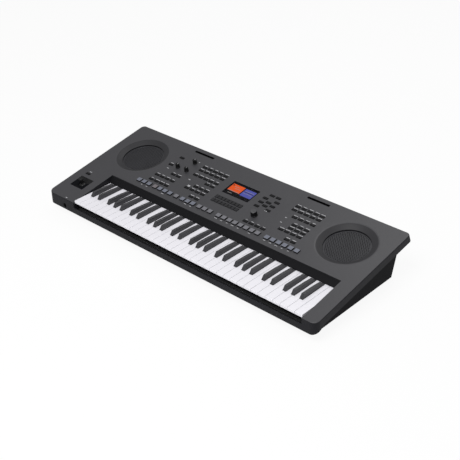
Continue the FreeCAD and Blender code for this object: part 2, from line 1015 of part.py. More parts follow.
def white_key(index):
    head_left, head_right, tail_left, tail_right = tail_limits(index)
    front = key_front_y
    shoulder = front + key_head_length
    rear = front + key_tail_length
    outline = [
        (head_left, front),
        (head_right, front),
        (head_right, shoulder),
        (tail_right, shoulder),
        (tail_right, rear),
        (tail_left, rear),
        (tail_left, shoulder),
        (head_left, shoulder),
    ]
    corners = []
    for point in outline:
        if point not in corners:
            corners.append(point)
    key = plan_prism(corners, key_bottom_height, key_top_height)
    lip_foot = key_top_height - key_lip_height
    throat = front + key_lip_overhang
    under_lip = block(head_left, head_right, front, throat, key_bottom_height, lip_foot)
    roof = key_top_height - key_wall
    inner_front = throat + key_wall
    head_room = block(
        head_left + key_wall,
        head_right - key_wall,
        inner_front,
        shoulder - key_wall,
        key_bottom_height,
        roof,
    )
    tail_room = block(
        tail_left + key_wall,
        tail_right - key_wall,
        inner_front,
        rear - key_wall,
        key_bottom_height,
        roof,
    )
    return key.cut([under_lip, head_room, tail_room])


def black_key(x):
    front = key_front_y + key_head_length + white_black_gap
    rear = key_front_y + key_tail_length
    crest = front + black_slope_length
    step = key_front_y + black_step_setback
    shoulder = key_front_y + black_shoulder_setback
    nose = key_top_height + black_nose_rise
    side = side_prism(
        [
            (front, black_bottom_height),
            (rear, black_bottom_height),
            (rear, black_step_top),
            (step, black_step_top),
            (shoulder, black_top_height - black_shoulder_drop),
            (crest + black_back_length, black_top_height - black_back_drop),
            (crest, black_top_height),
            (front, nose),
        ],
        x - black_foot_width,
        x + black_foot_width,
    )
    half_foot = black_foot_width / 2
    half_top = black_top_width / 2
    section = [
        (x - half_foot, black_bottom_height),
        (x + half_foot, black_bottom_height),
        (x + half_foot, key_top_height),
        (x + half_top, black_top_height),
        (x - half_top, black_top_height),
        (x - half_foot, key_top_height),
    ]
    corners = [Vector(px, front, pz) for px, pz in section]
    corners.append(corners[0])
    bar = Part.Face(Part.makePolygon(corners)).extrude(Vector(0, rear - front, 0))
    room = block(
        x - half_top + key_wall,
        x + half_top - key_wall,
        crest + key_wall,
        rear - key_wall,
        black_bottom_height,
        black_step_top - key_wall,
    )
    return side.common(bar).cut(room)


def comb(keys, middles, level):
    """Keys of one moulding, with their necks and the bar that joins them at the hinge."""
    bottom = comb_level(level)
    top = bottom + comb_bar_height
    neck_front = key_front_y + key_tail_length - key_wall
    bar_front = hinge_y - comb_bar_depth / 2
    bar_rear = hinge_y + comb_bar_depth / 2
    pieces = list(keys)
    half_neck = comb_neck_width / 2
    for x in middles:
        pieces.append(block(x - half_neck, x + half_neck, neck_front, bar_rear, bottom, top))
    left = min(middles) - half_neck
    right = max(middles) + half_neck
    pieces.append(block(left, right, bar_front, bar_rear, bottom, top))
    return united(pieces)


def white_comb(octave, steps, level):
    indices = [octave * 7 + step for step in steps]
    middles = []
    for index in indices:
        _, _, tail_left, tail_right = tail_limits(index)
        middles.append((tail_left + tail_right) / 2)
    return comb([white_key(index) for index in indices], middles, level)


def key_nodes():
    nodes = {}
    for octave in range(octave_count):
        name = "octave_%d" % (octave + 1)
        nodes[name + "_keys_c_e_g_b"] = white_comb(octave, (0, 2, 4, 6), 0)
        nodes[name + "_keys_d_f_a"] = white_comb(octave, (1, 3, 5), 1)
        centres = black_centres(octave)
        nodes[name + "_black_keys"] = comb([black_key(x) for x in centres], centres, 2)
    nodes["top_c_key"] = white_comb(octave_count, (0,), 0)
    return nodes


# Keybed under the keys

def key_frame():
    left = key_left_x - frame_side_margin
    right = key_right_x + frame_side_margin
    front = key_front_y + frame_front_setback
    rear = frame_rear_y
    leg_front = key_front_y + frame_leg_setback
    felt_front = key_front_y + felt_setback
    felt_rear = felt_front + felt_depth
    contact_front = key_front_y + contact_setback
    rail_front = hinge_y - comb_bar_depth / 2
    rail_rear = hinge_y + comb_bar_depth / 2
    rail_top = comb_level(0) - comb_bar_gap
    return united(
        [
            block(left, right, front, rear, frame_plate_height, frame_top),
            block(left, right, leg_front, leg_front + frame_leg_thickness, floor_top, frame_plate_height),
            block(left, right, rear - frame_leg_thickness, rear, floor_top, frame_plate_height),
            block(key_left_x, key_right_x, felt_front, felt_rear, frame_top, frame_top + felt_ridge_height),
            block(
                key_left_x,
                key_right_x,
                contact_front,
                contact_front + contact_depth,
                frame_top,
                frame_top + contact_ridge_height,
            ),
            block(key_left_x, key_right_x, rail_front, rail_rear, frame_top, rail_top),
        ]
    )


def key_stop_felt():
    front = key_front_y + felt_setback
    bottom = frame_top + felt_ridge_height
    return block(key_left_x, key_right_x, front, front + felt_depth, bottom, bottom + felt_thickness)


def key_contact_board():
    front = key_front_y + contact_setback
    bottom = frame_top + contact_ridge_height
    return block(key_left_x, key_right_x, front, front + contact_depth, bottom, bottom + board_thickness)


def contact_rubber_strip():
    front = key_front_y + contact_setback
    bottom = frame_top + contact_ridge_height + board_thickness
    base = block(
        key_left_x + rubber_inset,
        key_right_x - rubber_inset,
        front + rubber_inset,
        front + contact_depth - rubber_inset,
        bottom,
        bottom + rubber_base_height,
    )
    middle = front + contact_depth / 2
    domes = [
        centred_block(
            key_left_x + (index + 0.5) * white_pitch,
            middle,
            white_pitch / 2,
            rubber_dome_depth,
            bottom,
            rubber_top_height,
        )
        for index in range(white_count)
    ]
    return united([base] + domes)


def key_hinge_clamp():
    """Steel bar over the hinge ends of the combs, carried by a leg at each end."""
    bottom = comb_level(2) + comb_bar_height + comb_bar_gap
    top = bottom + clamp_thickness
    front = hinge_y - comb_bar_depth / 2
    rear = hinge_y + comb_bar_depth / 2
    left = key_left_x - clamp_leg_gap
    right = key_right_x + clamp_leg_gap
    return united(
        [
            block(left - clamp_leg_width, right + clamp_leg_width, front, rear, bottom, top),
            block(left - clamp_leg_width, left, front, rear, frame_top, bottom),
            block(right, right + clamp_leg_width, front, rear, frame_top, bottom),
        ]
    )


# Buttons

def button_bank(caps, rise):
    """Caps joined by the thin web that they are moulded on, under the panel."""
    left = min(x - width / 2 for x, _, width, _ in caps) - web_margin
    right = max(x + width / 2 for x, _, width, _ in caps) + web_margin
    front = min(up - depth / 2 for _, up, _, depth in caps) - web_margin
    rear = max(up + depth / 2 for _, up, _, depth in caps) + web_margin
    web = block(left, right, front, rear, web_bottom, -web_drop)
    windows = []
    for x, up in shaft_places().values():
        windows.append(centred_block(x, up, shaft_window, shaft_window, web_bottom, -web_drop))
    if len(caps) > 1:
        standby_x = standby_share * half_width
        wide = shaft_window + button_width
        windows.append(centred_block(standby_x, row_top, wide, shaft_window, web_bottom, -web_drop))
    web = web.cut(windows)
    pieces = [web] + [centred_block(x, up, width, depth, -web_drop, rise) for x, up, width, depth in caps]
    return on_panel(united(pieces))


def button_nodes():
    return {name: button_bank(caps, rise) for name, (caps, rise) in bank_layout().items()}


def panel_boards():
    """Boards behind the panel and the joystick's button, with one small switch under each cap."""
    bottom = board_top - board_thickness
    front, rear = panel_board_front_row, panel_board_rear_row
    half_split = panel_board_split / 2
    display = centred_block(
        0,
        lens_row,
        window_width + 4 * module_margin,
        window_depth + 4 * module_margin,
        bottom,
        board_top,
    )
    outlines = [
        (-panel_board_half_width, -half_split, front, rear),
        (half_split, panel_board_half_width, front, rear),
        (
            joystick_button_x - small_board_width / 2,
            joystick_button_x + small_board_width / 2,
            joystick_button_row - small_board_depth / 2,
            joystick_button_row + small_board_depth / 2,
        ),
    ]
    cup_room = grille_radius + case_wall + panel_board_speaker_gap
    round_speakers = [
        upright(cup_room, side * speaker_x, speaker_row, bottom, board_top) for side in (-1, 1)
    ]
    boards = []
    for left, right, near, far in outlines:
        board = block(left, right, near, far, bottom, board_top).cut([display] + round_speakers)
        switches = []
        for caps, _ in bank_layout().values():
            for x, up, _, _ in caps:
                if left < x < right and near < up < far:
                    switches.append(
                        centred_block(x, up, switch_size, switch_size, board_top, board_top + switch_height)
                    )
        boards.append(on_panel(united([board] + switches)))
    return Part.makeCompound(boards)


# Display

def display_lens():
    return on_panel(centred_block(0, lens_row, lens_width, lens_depth, -lens_thickness, 0))


def display_module():
    top = -case_wall - module_clearance
    width = window_width + 2 * module_margin
    depth = window_depth + 2 * module_margin
    return on_panel(centred_block(0, lens_row, width, depth, top - module_thickness, top))


# Rotary controls

def rotary_body(x, up):
    body = centred_block(x, up, pot_size, pot_size, board_top, board_top + pot_height)
    bushing = upright(bushing_radius, x, up, board_top + pot_height, board_top + bushing_rise)
    bore_bottom = knob_lift - stem_length - stem_clearance
    bore = upright(knob_stem_radius + stem_clearance, x, up, bore_bottom, board_top + bushing_rise)
    return on_panel(united([body, bushing]).cut(bore))


def rotary_cap(x, up, radius, skirt_radius, height):
    stem = upright(knob_stem_radius, x, up, knob_lift - stem_length, knob_lift)
    skirt = upright(skirt_radius, x, up, knob_lift, knob_lift + knob_skirt_height)
    grip = upright(radius, x, up, knob_lift, knob_lift + height)
    return on_panel(united([stem, skirt, grip]))


def rotary_nodes():
    nodes = {}
    for name, (x, up) in shaft_places().items():
        if name == "data_dial":
            nodes[name] = rotary_cap(x, up, dial_radius, dial_skirt_radius, dial_height)
            nodes["dial_encoder"] = rotary_body(x, up)
        else:
            nodes[name] = rotary_cap(x, up, knob_radius, knob_skirt_radius, knob_height)
    knobs = [place for name, place in shaft_places().items() if name != "data_dial"]
    nodes["potentiometers"] = Part.makeCompound([rotary_body(x, up) for x, up in knobs])
    return nodes


# Speakers

def speaker_nodes():
    nodes = {}
    seat = -dish_depth - grille_thickness
    rim_top = seat - ledge_thickness - grille_clearance
    flange_top = rim_top - rim_thickness
    flange_foot = flange_top - basket_flange_thickness
    back = flange_top - basket_back_depth
    waist = flange_top - basket_waist_depth
    basket = [
        (0, back),
        (basket_waist_radius, back),
        (basket_waist_radius, waist),
        (basket_throat_radius + basket_wall, flange_foot),
        (basket_flange_radius, flange_foot),
        (basket_flange_radius, flange_top),
        (basket_throat_radius - basket_wall, flange_top),
        (basket_waist_radius - basket_wall, waist),
        (basket_waist_radius - basket_wall, back + basket_wall),
        (0, back + basket_wall),
    ]
    apex = flange_top - cone_apex_depth
    cone = [
        (rim_outer_radius, rim_top),
        (rim_inner_radius, rim_top),
        (cone_apex_radius, apex + cone_thickness),
        (0, apex + cone_thickness),
        (0, apex),
        (cone_apex_radius, apex),
        (rim_inner_radius - cone_thickness, flange_top),
        (rim_outer_radius, flange_top),
    ]
    for side, name in ((-1, "left"), (1, "right")):
        x = side * speaker_x
        grille = upright(grille_radius, x, speaker_row, seat, -dish_depth)
        magnet = upright(magnet_radius, x, speaker_row, back - magnet_height, back)
        nodes[name + "_speaker_grille"] = on_panel(grille)
        nodes[name + "_speaker_basket"] = on_panel(turned(basket, x, speaker_row))
        nodes[name + "_speaker_cone"] = on_panel(turned(cone, x, speaker_row))
        nodes[name + "_speaker_magnet"] = on_panel(magnet)
    return nodes


# Joystick

def joystick_base():
    x, up = joystick_x, joystick_row
    plate = centred_block(x, up, joystick_plate_width, joystick_plate_depth, -joystick_plate_thickness, 0)
    flange_top = -case_wall - seam_clearance
    flange = centred_block(
        x,
        up,
        joystick_plate_width + 2 * joystick_flange_margin,
        joystick_plate_depth + 2 * joystick_flange_margin,
        flange_top - joystick_flange_thickness,
        flange_top,
    )
    cup = centred_block(x, up, joystick_cup_size, joystick_cup_size, -joystick_cup_depth, flange_top)
    inside = joystick_cup_size - 2 * joystick_cup_wall
    room = centred_block(
        x, up, inside, inside, -joystick_cup_depth + joystick_cup_wall, -joystick_plate_thickness
    )
    dish = turned(
        [
            (0, -joystick_cup_wall - joystick_plate_thickness),
            (joystick_hole_radius, -joystick_cup_wall - joystick_plate_thickness),
            (joystick_hole_radius, -joystick_plate_thickness),
            (joystick_dish_radius, 0),
            (0, 0),
        ],
        x,
        up,
    )
    reach = joystick_cup_size / 2
    pivot = -joystick_pivot_depth
    radius = gimbal_pin_radius + pin_clearance
    bore = rod(radius, Vector(x, up - reach, pivot), Vector(x, up + reach, pivot))
    return on_panel(united([plate, flange, cup]).cut([room, dish, bore]))


def joystick_gimbal():
    x, up = joystick_x, joystick_row
    pivot = -joystick_pivot_depth
    half_high = gimbal_height / 2
    bottom, top = pivot - half_high, pivot + half_high
    inner_width = gimbal_width - 2 * gimbal_rail
    inner_depth = gimbal_depth - 2 * gimbal_rail
    ring = centred_block(x, up, gimbal_width, gimbal_depth, bottom, top)
    ring = ring.cut(centred_block(x, up, inner_width, inner_depth, bottom, top))
    start = gimbal_depth / 2 - gimbal_rail / 2
    finish = joystick_cup_size / 2 - joystick_cup_wall + gimbal_pin_bite
    pins = [
        rod(gimbal_pin_radius, Vector(x, up + side * start, pivot), Vector(x, up + side * finish, pivot))
        for side in (-1, 1)
    ]
    reach = gimbal_width / 2
    radius = gimbal_pin_radius + pin_clearance
    bore = rod(radius, Vector(x - reach, up, pivot), Vector(x + reach, up, pivot))
    return on_panel(united([ring] + pins).cut(bore))


def joystick_stick():
    x, up = joystick_x, joystick_row
    pivot = -joystick_pivot_depth
    centre = Vector(x, up, pivot)
    dome = Part.makeSphere(dome_radius, centre).cut(Part.makeSphere(dome_radius - dome_thickness, centre))
    above = centred_block(
        x, up, 2 * dome_radius, 2 * dome_radius, pivot + dome_rim_height, pivot + dome_radius
    )
    dome = dome.common(above)
    half_high = stick_block_height / 2
    heart = centred_block(x, up, stick_block_width, stick_block_depth, pivot - half_high, pivot + half_high)
    post = upright(stick_post_radius, x, up, pivot, pivot + dome_radius - dome_thickness / 2)
    foot = pivot + dome_radius - dome_thickness
    shaft = Part.makeCone(stick_foot_radius, stick_neck_radius, stick_height - foot, Vector(x, up, foot))
    cap_top = stick_height + stick_cap_height
    cap = upright(stick_cap_radius, x, up, stick_height, cap_top)
    cap = cap.makeFillet(stick_cap_edge_radius, cap.Edges[:1] + cap.Edges[2:])
    start = stick_block_width / 2 - gimbal_pin_radius
    finish = gimbal_width / 2 - gimbal_rail + gimbal_pin_bite
    pins = [
        rod(gimbal_pin_radius, Vector(x + side * start, up, pivot), Vector(x + side * finish, up, pivot))
        for side in (-1, 1)
    ]
    return on_panel(united([dome, heart, post, shaft, cap] + pins))


# Sockets and boards

def headphone_span(y0, y1):
    return Vector(headphone_x, y0, headphone_height), Vector(headphone_x, y1, headphone_height)


def headphone_jack():
    face_y = front_y + headphone_recess
    back_y = front_y + case_wall + seam_clearance
    bush = rod(headphone_face_radius, *headphone_span(face_y, back_y))
    half = jack_body_height / 2
    body = block(
        headphone_x - jack_body_width / 2,
        headphone_x + jack_body_width / 2,
        back_y,
        back_y + jack_body_length,
        headphone_height - half,
        headphone_height + half,
    )
    bore = rod(jack_bore_radius, *headphone_span(face_y, face_y + jack_bore_length))
    return united([bush, body]).cut(bore)


def rear_jacks():
    jacks = []
    inside = -case_wall - seam_clearance
    half = rear_jack_body_size / 2
    for x in rear_jack_xs():
        mouth = Vector(x, 0, rear_socket_rise)
        bush = rod(rear_jack_bush_radius, Vector(x, inside, rear_socket_rise), mouth)
        body = block(
            x - half,
            x + half,
            inside - jack_body_length,
            inside,
            rear_socket_rise - half,
            rear_socket_rise + half,
        )
        bore = rod(jack_bore_radius, Vector(x, -jack_bore_length, rear_socket_rise), mouth)
        jacks.append(on_rear_wall(united([bush, body]).cut(bore)))
    return Part.makeCompound(jacks)


def usb_ports():
    ports = []
    face_y, z = usb_face()
    for x in usb_xs():
        shell = block(
            x - usb_width / 2,
            x + usb_width / 2,
            face_y - usb_length,
            face_y,
            z - usb_height / 2,
            z + usb_height / 2,
        )
        mouth = block(
            x - usb_mouth_width / 2,
            x + usb_mouth_width / 2,
            face_y - usb_mouth_depth,
            face_y,
            z - usb_mouth_height / 2,
            z + usb_mouth_height / 2,
        )
        ports.append(shell.cut(mouth))
    return Part.makeCompound(ports)


def dc_inlet():
    half = dc_inlet_size / 2
    body = block(
        dc_inlet_x - half,
        dc_inlet_x + half,
        -dc_inlet_length,
        0,
        rear_socket_rise - half,
        rear_socket_rise + half,
    )
    mouth = Vector(dc_inlet_x, 0, rear_socket_rise)
    back = Vector(dc_inlet_x, -dc_bore_depth, rear_socket_rise)
    ring = rod(dc_bore_radius, back, mouth).cut(rod(dc_pin_radius, back, mouth))
    return on_rear_wall(body.cut(ring))


def main_board():
    bottom = floor_top + main_board_post_height
    top = bottom + board_thickness
    half = main_board_width / 2
    middle = (main_board_front_y + main_board_rear_y) / 2
    board = block(-half, half, main_board_front_y, main_board_rear_y, bottom, top)
    step = main_board_width / (chip_count + 1)
    chips = [
        centred_block(-half + (index + 1) * step, middle, chip_size, chip_size, top, top + chip_height)
        for index in range(chip_count)
    ]
    return united([board] + chips)


def ribbon_cables():
    """Flat cables that stand between the main board and the panel boards above it."""
    y = main_board_rear_y - main_board_post_size
    bottom = floor_top + main_board_post_height + board_thickness
    board_drop = (panel_board_drop + board_thickness) / math.cos(panel_angle)
    top = panel_z(y - ribbon_thickness) - board_drop - ribbon_end_gap
    return Part.makeCompound(
        [centred_block(side * ribbon_x, y, ribbon_width, ribbon_thickness, bottom, top) for side in (-1, 1)]
    )


def all_nodes():
    nodes = {
        "top_case": top_case(),
        "bottom_case": bottom_case(),
        "rubber_feet": rubber_feet(),
        "case_screws": case_screws(),
        "key_frame": key_frame(),
        "key_stop_felt": key_stop_felt(),
        "key_contact_board": key_contact_board(),
        "contact_rubber_strip": contact_rubber_strip(),
        "key_hinge_clamp": key_hinge_clamp(),
        "panel_boards": panel_boards(),
        "display_lens": display_lens(),
        "display_module": display_module(),
        "joystick_base": joystick_base(),
        "joystick_gimbal": joystick_gimbal(),
        "joystick_stick": joystick_stick(),
        "headphone_jack": headphone_jack(),
        "rear_jacks": rear_jacks(),
        "usb_ports": usb_ports(),
        "dc_inlet": dc_inlet(),
        "main_board": main_board(),
        "ribbon_cables": ribbon_cables(),
    }
    nodes.update(key_nodes())
    nodes.update(button_nodes())
    nodes.update(rotary_nodes())
    nodes.update(speaker_nodes())
    return nodes


os.makedirs("parts", exist_ok=True)
for node, shape in all_nodes().items():
    shape.exportStep("parts/%s.step" % node)
    print(node, len(shape.Solids), round(shape.Volume), shape.isValid())
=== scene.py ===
"""Looks of the arranger keyboard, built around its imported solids."""
import json
import math
import random

import bmesh
import bpy
from mathutils import Matrix, Vector


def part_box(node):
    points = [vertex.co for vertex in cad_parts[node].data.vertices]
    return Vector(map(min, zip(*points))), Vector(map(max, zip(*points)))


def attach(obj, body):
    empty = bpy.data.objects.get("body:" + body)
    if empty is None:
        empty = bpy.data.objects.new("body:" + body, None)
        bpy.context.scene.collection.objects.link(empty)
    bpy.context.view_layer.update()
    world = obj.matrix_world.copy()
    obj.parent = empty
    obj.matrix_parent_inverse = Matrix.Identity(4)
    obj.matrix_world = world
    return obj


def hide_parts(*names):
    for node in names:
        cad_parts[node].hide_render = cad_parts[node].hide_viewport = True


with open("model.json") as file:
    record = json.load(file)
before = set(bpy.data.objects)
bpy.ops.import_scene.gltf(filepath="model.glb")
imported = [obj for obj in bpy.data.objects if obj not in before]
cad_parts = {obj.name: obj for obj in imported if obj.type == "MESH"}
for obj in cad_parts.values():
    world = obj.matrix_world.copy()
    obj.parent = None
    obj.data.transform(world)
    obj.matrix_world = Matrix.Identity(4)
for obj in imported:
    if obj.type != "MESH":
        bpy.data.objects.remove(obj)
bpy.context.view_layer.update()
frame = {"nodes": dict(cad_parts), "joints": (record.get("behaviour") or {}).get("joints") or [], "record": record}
nodes = frame["nodes"]
body_of = {node: body for body, members in frame["record"]["behaviour"]["bodies"].items() for node in members}
joints = {joint["name"]: joint for joint in frame["joints"]}
draw = random.Random(61)

MM = 0.001
WELD = 0.002 * MM
FLAT = math.radians(0.5)
CREASE = math.radians(40)
SHARP = math.radians(20)

# How far a point of the panel's surface may lie off it, and how far under it a control's caps reach
LEVEL = 0.05 * MM
CAP_FOOT = 1 * MM

# Cosines between a face's normal and the panel's outward direction
ALONG_PANEL = 0.99
NEARLY_ALONG = 0.97
SLOPING = 0.8
UPRIGHT = 0.3

# Camera, as it stood for the photograph
camera_place = Vector((1631.26, -1670.20, 1460.17)) * MM
camera_azimuth = math.radians(43.553)
camera_elevation = math.radians(31.485)
camera_roll = math.radians(-1.585)
camera_lens = 76.525
camera_sensor = 36.0

# The sloping panel's own directions, taken from the controls that stand on it
across = Vector((1, 0, 0))
outward = Vector(joints["data_dial_turn"]["axis"])
uphill = Vector(joints["joystick_side_tilt"]["axis"])
dial_seat = Vector(joints["data_dial_turn"]["pos_m"])
case_low, case_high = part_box("top_case")
panel_origin = dial_seat - uphill * ((dial_seat.y - case_low.y) / uphill.y)
panel_origin.x = 0


def on_panel(x, up, out=0.0):
    """A place on the panel: across, up the slope and out of the surface, in metres."""
    return panel_origin + across * x + uphill * up + outward * out


def panel_place(point):
    offset = point - panel_origin
    return offset.x, offset.dot(uphill), offset.dot(outward)


def panel_span(node):
    """Lowest and highest place of a node in the panel's own directions."""
    places = [panel_place(vertex.co) for vertex in nodes[node].data.vertices]
    low = [min(place[axis] for place in places) for axis in range(3)]
    high = [max(place[axis] for place in places) for axis in range(3)]
    return low, high


# Materials

def new_material(name):
    material = bpy.data.materials.new(name)
    material.use_nodes = True
    return material, material.node_tree, material.node_tree.nodes["Principled BSDF"]


def add_node(tree, kind, **values):
    node = tree.nodes.new(kind)
    for key, value in values.items():
        setattr(node, key, value)
    return node


def object_noise(tree, grain, detail=2.0, stretch=(1, 1, 1)):
    """Noise fixed to the object, with grains of about the given size."""
    place = add_node(tree, "ShaderNodeTexCoord")
    mapping = add_node(tree, "ShaderNodeMapping")
    mapping.inputs["Scale"].default_value = stretch
    noise = add_node(tree, "ShaderNodeTexNoise")
    noise.inputs["Scale"].default_value = 1.0 / grain
    noise.inputs["Detail"].default_value = detail
    tree.links.new(place.outputs["Object"], mapping.inputs["Vector"])
    tree.links.new(mapping.outputs["Vector"], noise.inputs["Vector"])
    return noise


def ramp_between(tree, source, low, high, start=0.3, finish=0.7):
    ramp = add_node(tree, "ShaderNodeValToRGB")
    ramp.color_ramp.elements[0].position = start
    ramp.color_ramp.elements[0].color = (*low, 1)
    ramp.color_ramp.elements[1].position = finish
    ramp.color_ramp.elements[1].color = (*high, 1)
    tree.links.new(source, ramp.inputs["Fac"])
    return ramp.outputs["Color"]


def range_between(tree, source, low, high):
    spread = add_node(tree, "ShaderNodeMapRange")
    spread.inputs["From Min"].default_value = 0.3
    spread.inputs["From Max"].default_value = 0.7
    spread.inputs["To Min"].default_value = low
    spread.inputs["To Max"].default_value = high
    tree.links.new(source, spread.inputs["Value"])
    return spread.outputs["Result"]


def moulded(name, colour, roughness, grain=0.5 * MM, depth=0.03 * MM, cloud=0.06, variation=0.05,
            specular=0.5, coat=0.0, metallic=0.0, stretch=(1, 1, 1)):
    """Moulded or pressed finish: a fine grain, and colour and gloss that drift a little over the surface."""
    material, tree, shader = new_material(name)
    drift = object_noise(tree, cloud, 3.0)
    darker = [channel * (1 - variation) for channel in colour]
    lighter = [channel * (1 + variation) for channel in colour]
    tree.links.new(ramp_between(tree, drift.outputs["Fac"], darker, lighter), shader.inputs["Base Color"])
    fine = object_noise(tree, grain, 1.0, stretch)
    gloss = range_between(tree, fine.outputs["Fac"], roughness * 0.9, roughness * 1.1)
    tree.links.new(gloss, shader.inputs["Roughness"])
    bump = add_node(tree, "ShaderNodeBump")
    bump.inputs["Strength"].default_value = 0.5
    bump.inputs["Distance"].default_value = depth
    tree.links.new(fine.outputs["Fac"], bump.inputs["Height"])
    tree.links.new(bump.outputs["Normal"], shader.inputs["Normal"])
    shader.inputs["Specular IOR Level"].default_value = specular
    shader.inputs["Coat Weight"].default_value = coat
    shader.inputs["Metallic"].default_value = metallic
    return material


def glowing(name, colour, strength, cell):
    """Lit display field with the faint grid of its dots."""
    material, tree, shader = new_material(name)
    place = add_node(tree, "ShaderNodeTexCoord")
    checker = add_node(tree, "ShaderNodeTexChecker")
    checker.inputs["Scale"].default_value = 1.0 / cell
    checker.inputs["Color1"].default_value = (*colour, 1)
    checker.inputs["Color2"].default_value = (*[channel * 0.86 for channel in colour], 1)
    tree.links.new(place.outputs["Object"], checker.inputs["Vector"])
    tree.links.new(checker.outputs["Color"], shader.inputs["Emission Color"])
    shader.inputs["Emission Strength"].default_value = strength
    shader.inputs["Base Color"].default_value = (0.01, 0.01, 0.012, 1)
    shader.inputs["Roughness"].default_value = 0.5
    shader.inputs["Specular IOR Level"].default_value = 0.1
    return material


def clear_lens(name):
    material, tree, shader = new_material(name)
    smudge = object_noise(tree, 12 * MM, 3.0)
    tree.links.new(range_between(tree, smudge.outputs["Fac"], 0.05, 0.11), shader.inputs["Roughness"])
    shader.inputs["Base Color"].default_value = (0.02, 0.02, 0.025, 1)
    shader.inputs["Specular IOR Level"].default_value = 0.1
    shader.inputs["Alpha"].default_value = 0.06
    return material


def board_finish(name):
    """Coated circuit board: dark green with paler tracks."""
    material, tree, shader = new_material(name)
    place = add_node(tree, "ShaderNodeTexCoord")
    tracks = add_node(tree, "ShaderNodeTexBrick")
    tracks.inputs["Scale"].default_value = 60.0
    tracks.inputs["Color1"].default_value = (0.02, 0.12, 0.045, 1)
    tracks.inputs["Color2"].default_value = (0.025, 0.15, 0.05, 1)
    tracks.inputs["Mortar"].default_value = (0.05, 0.24, 0.09, 1)
    tracks.inputs["Mortar Size"].default_value = 0.03
    tree.links.new(place.outputs["Object"], tracks.inputs["Vector"])
    tree.links.new(tracks.outputs["Color"], shader.inputs["Base Color"])
    shader.inputs["Roughness"].default_value = 0.4
    return material


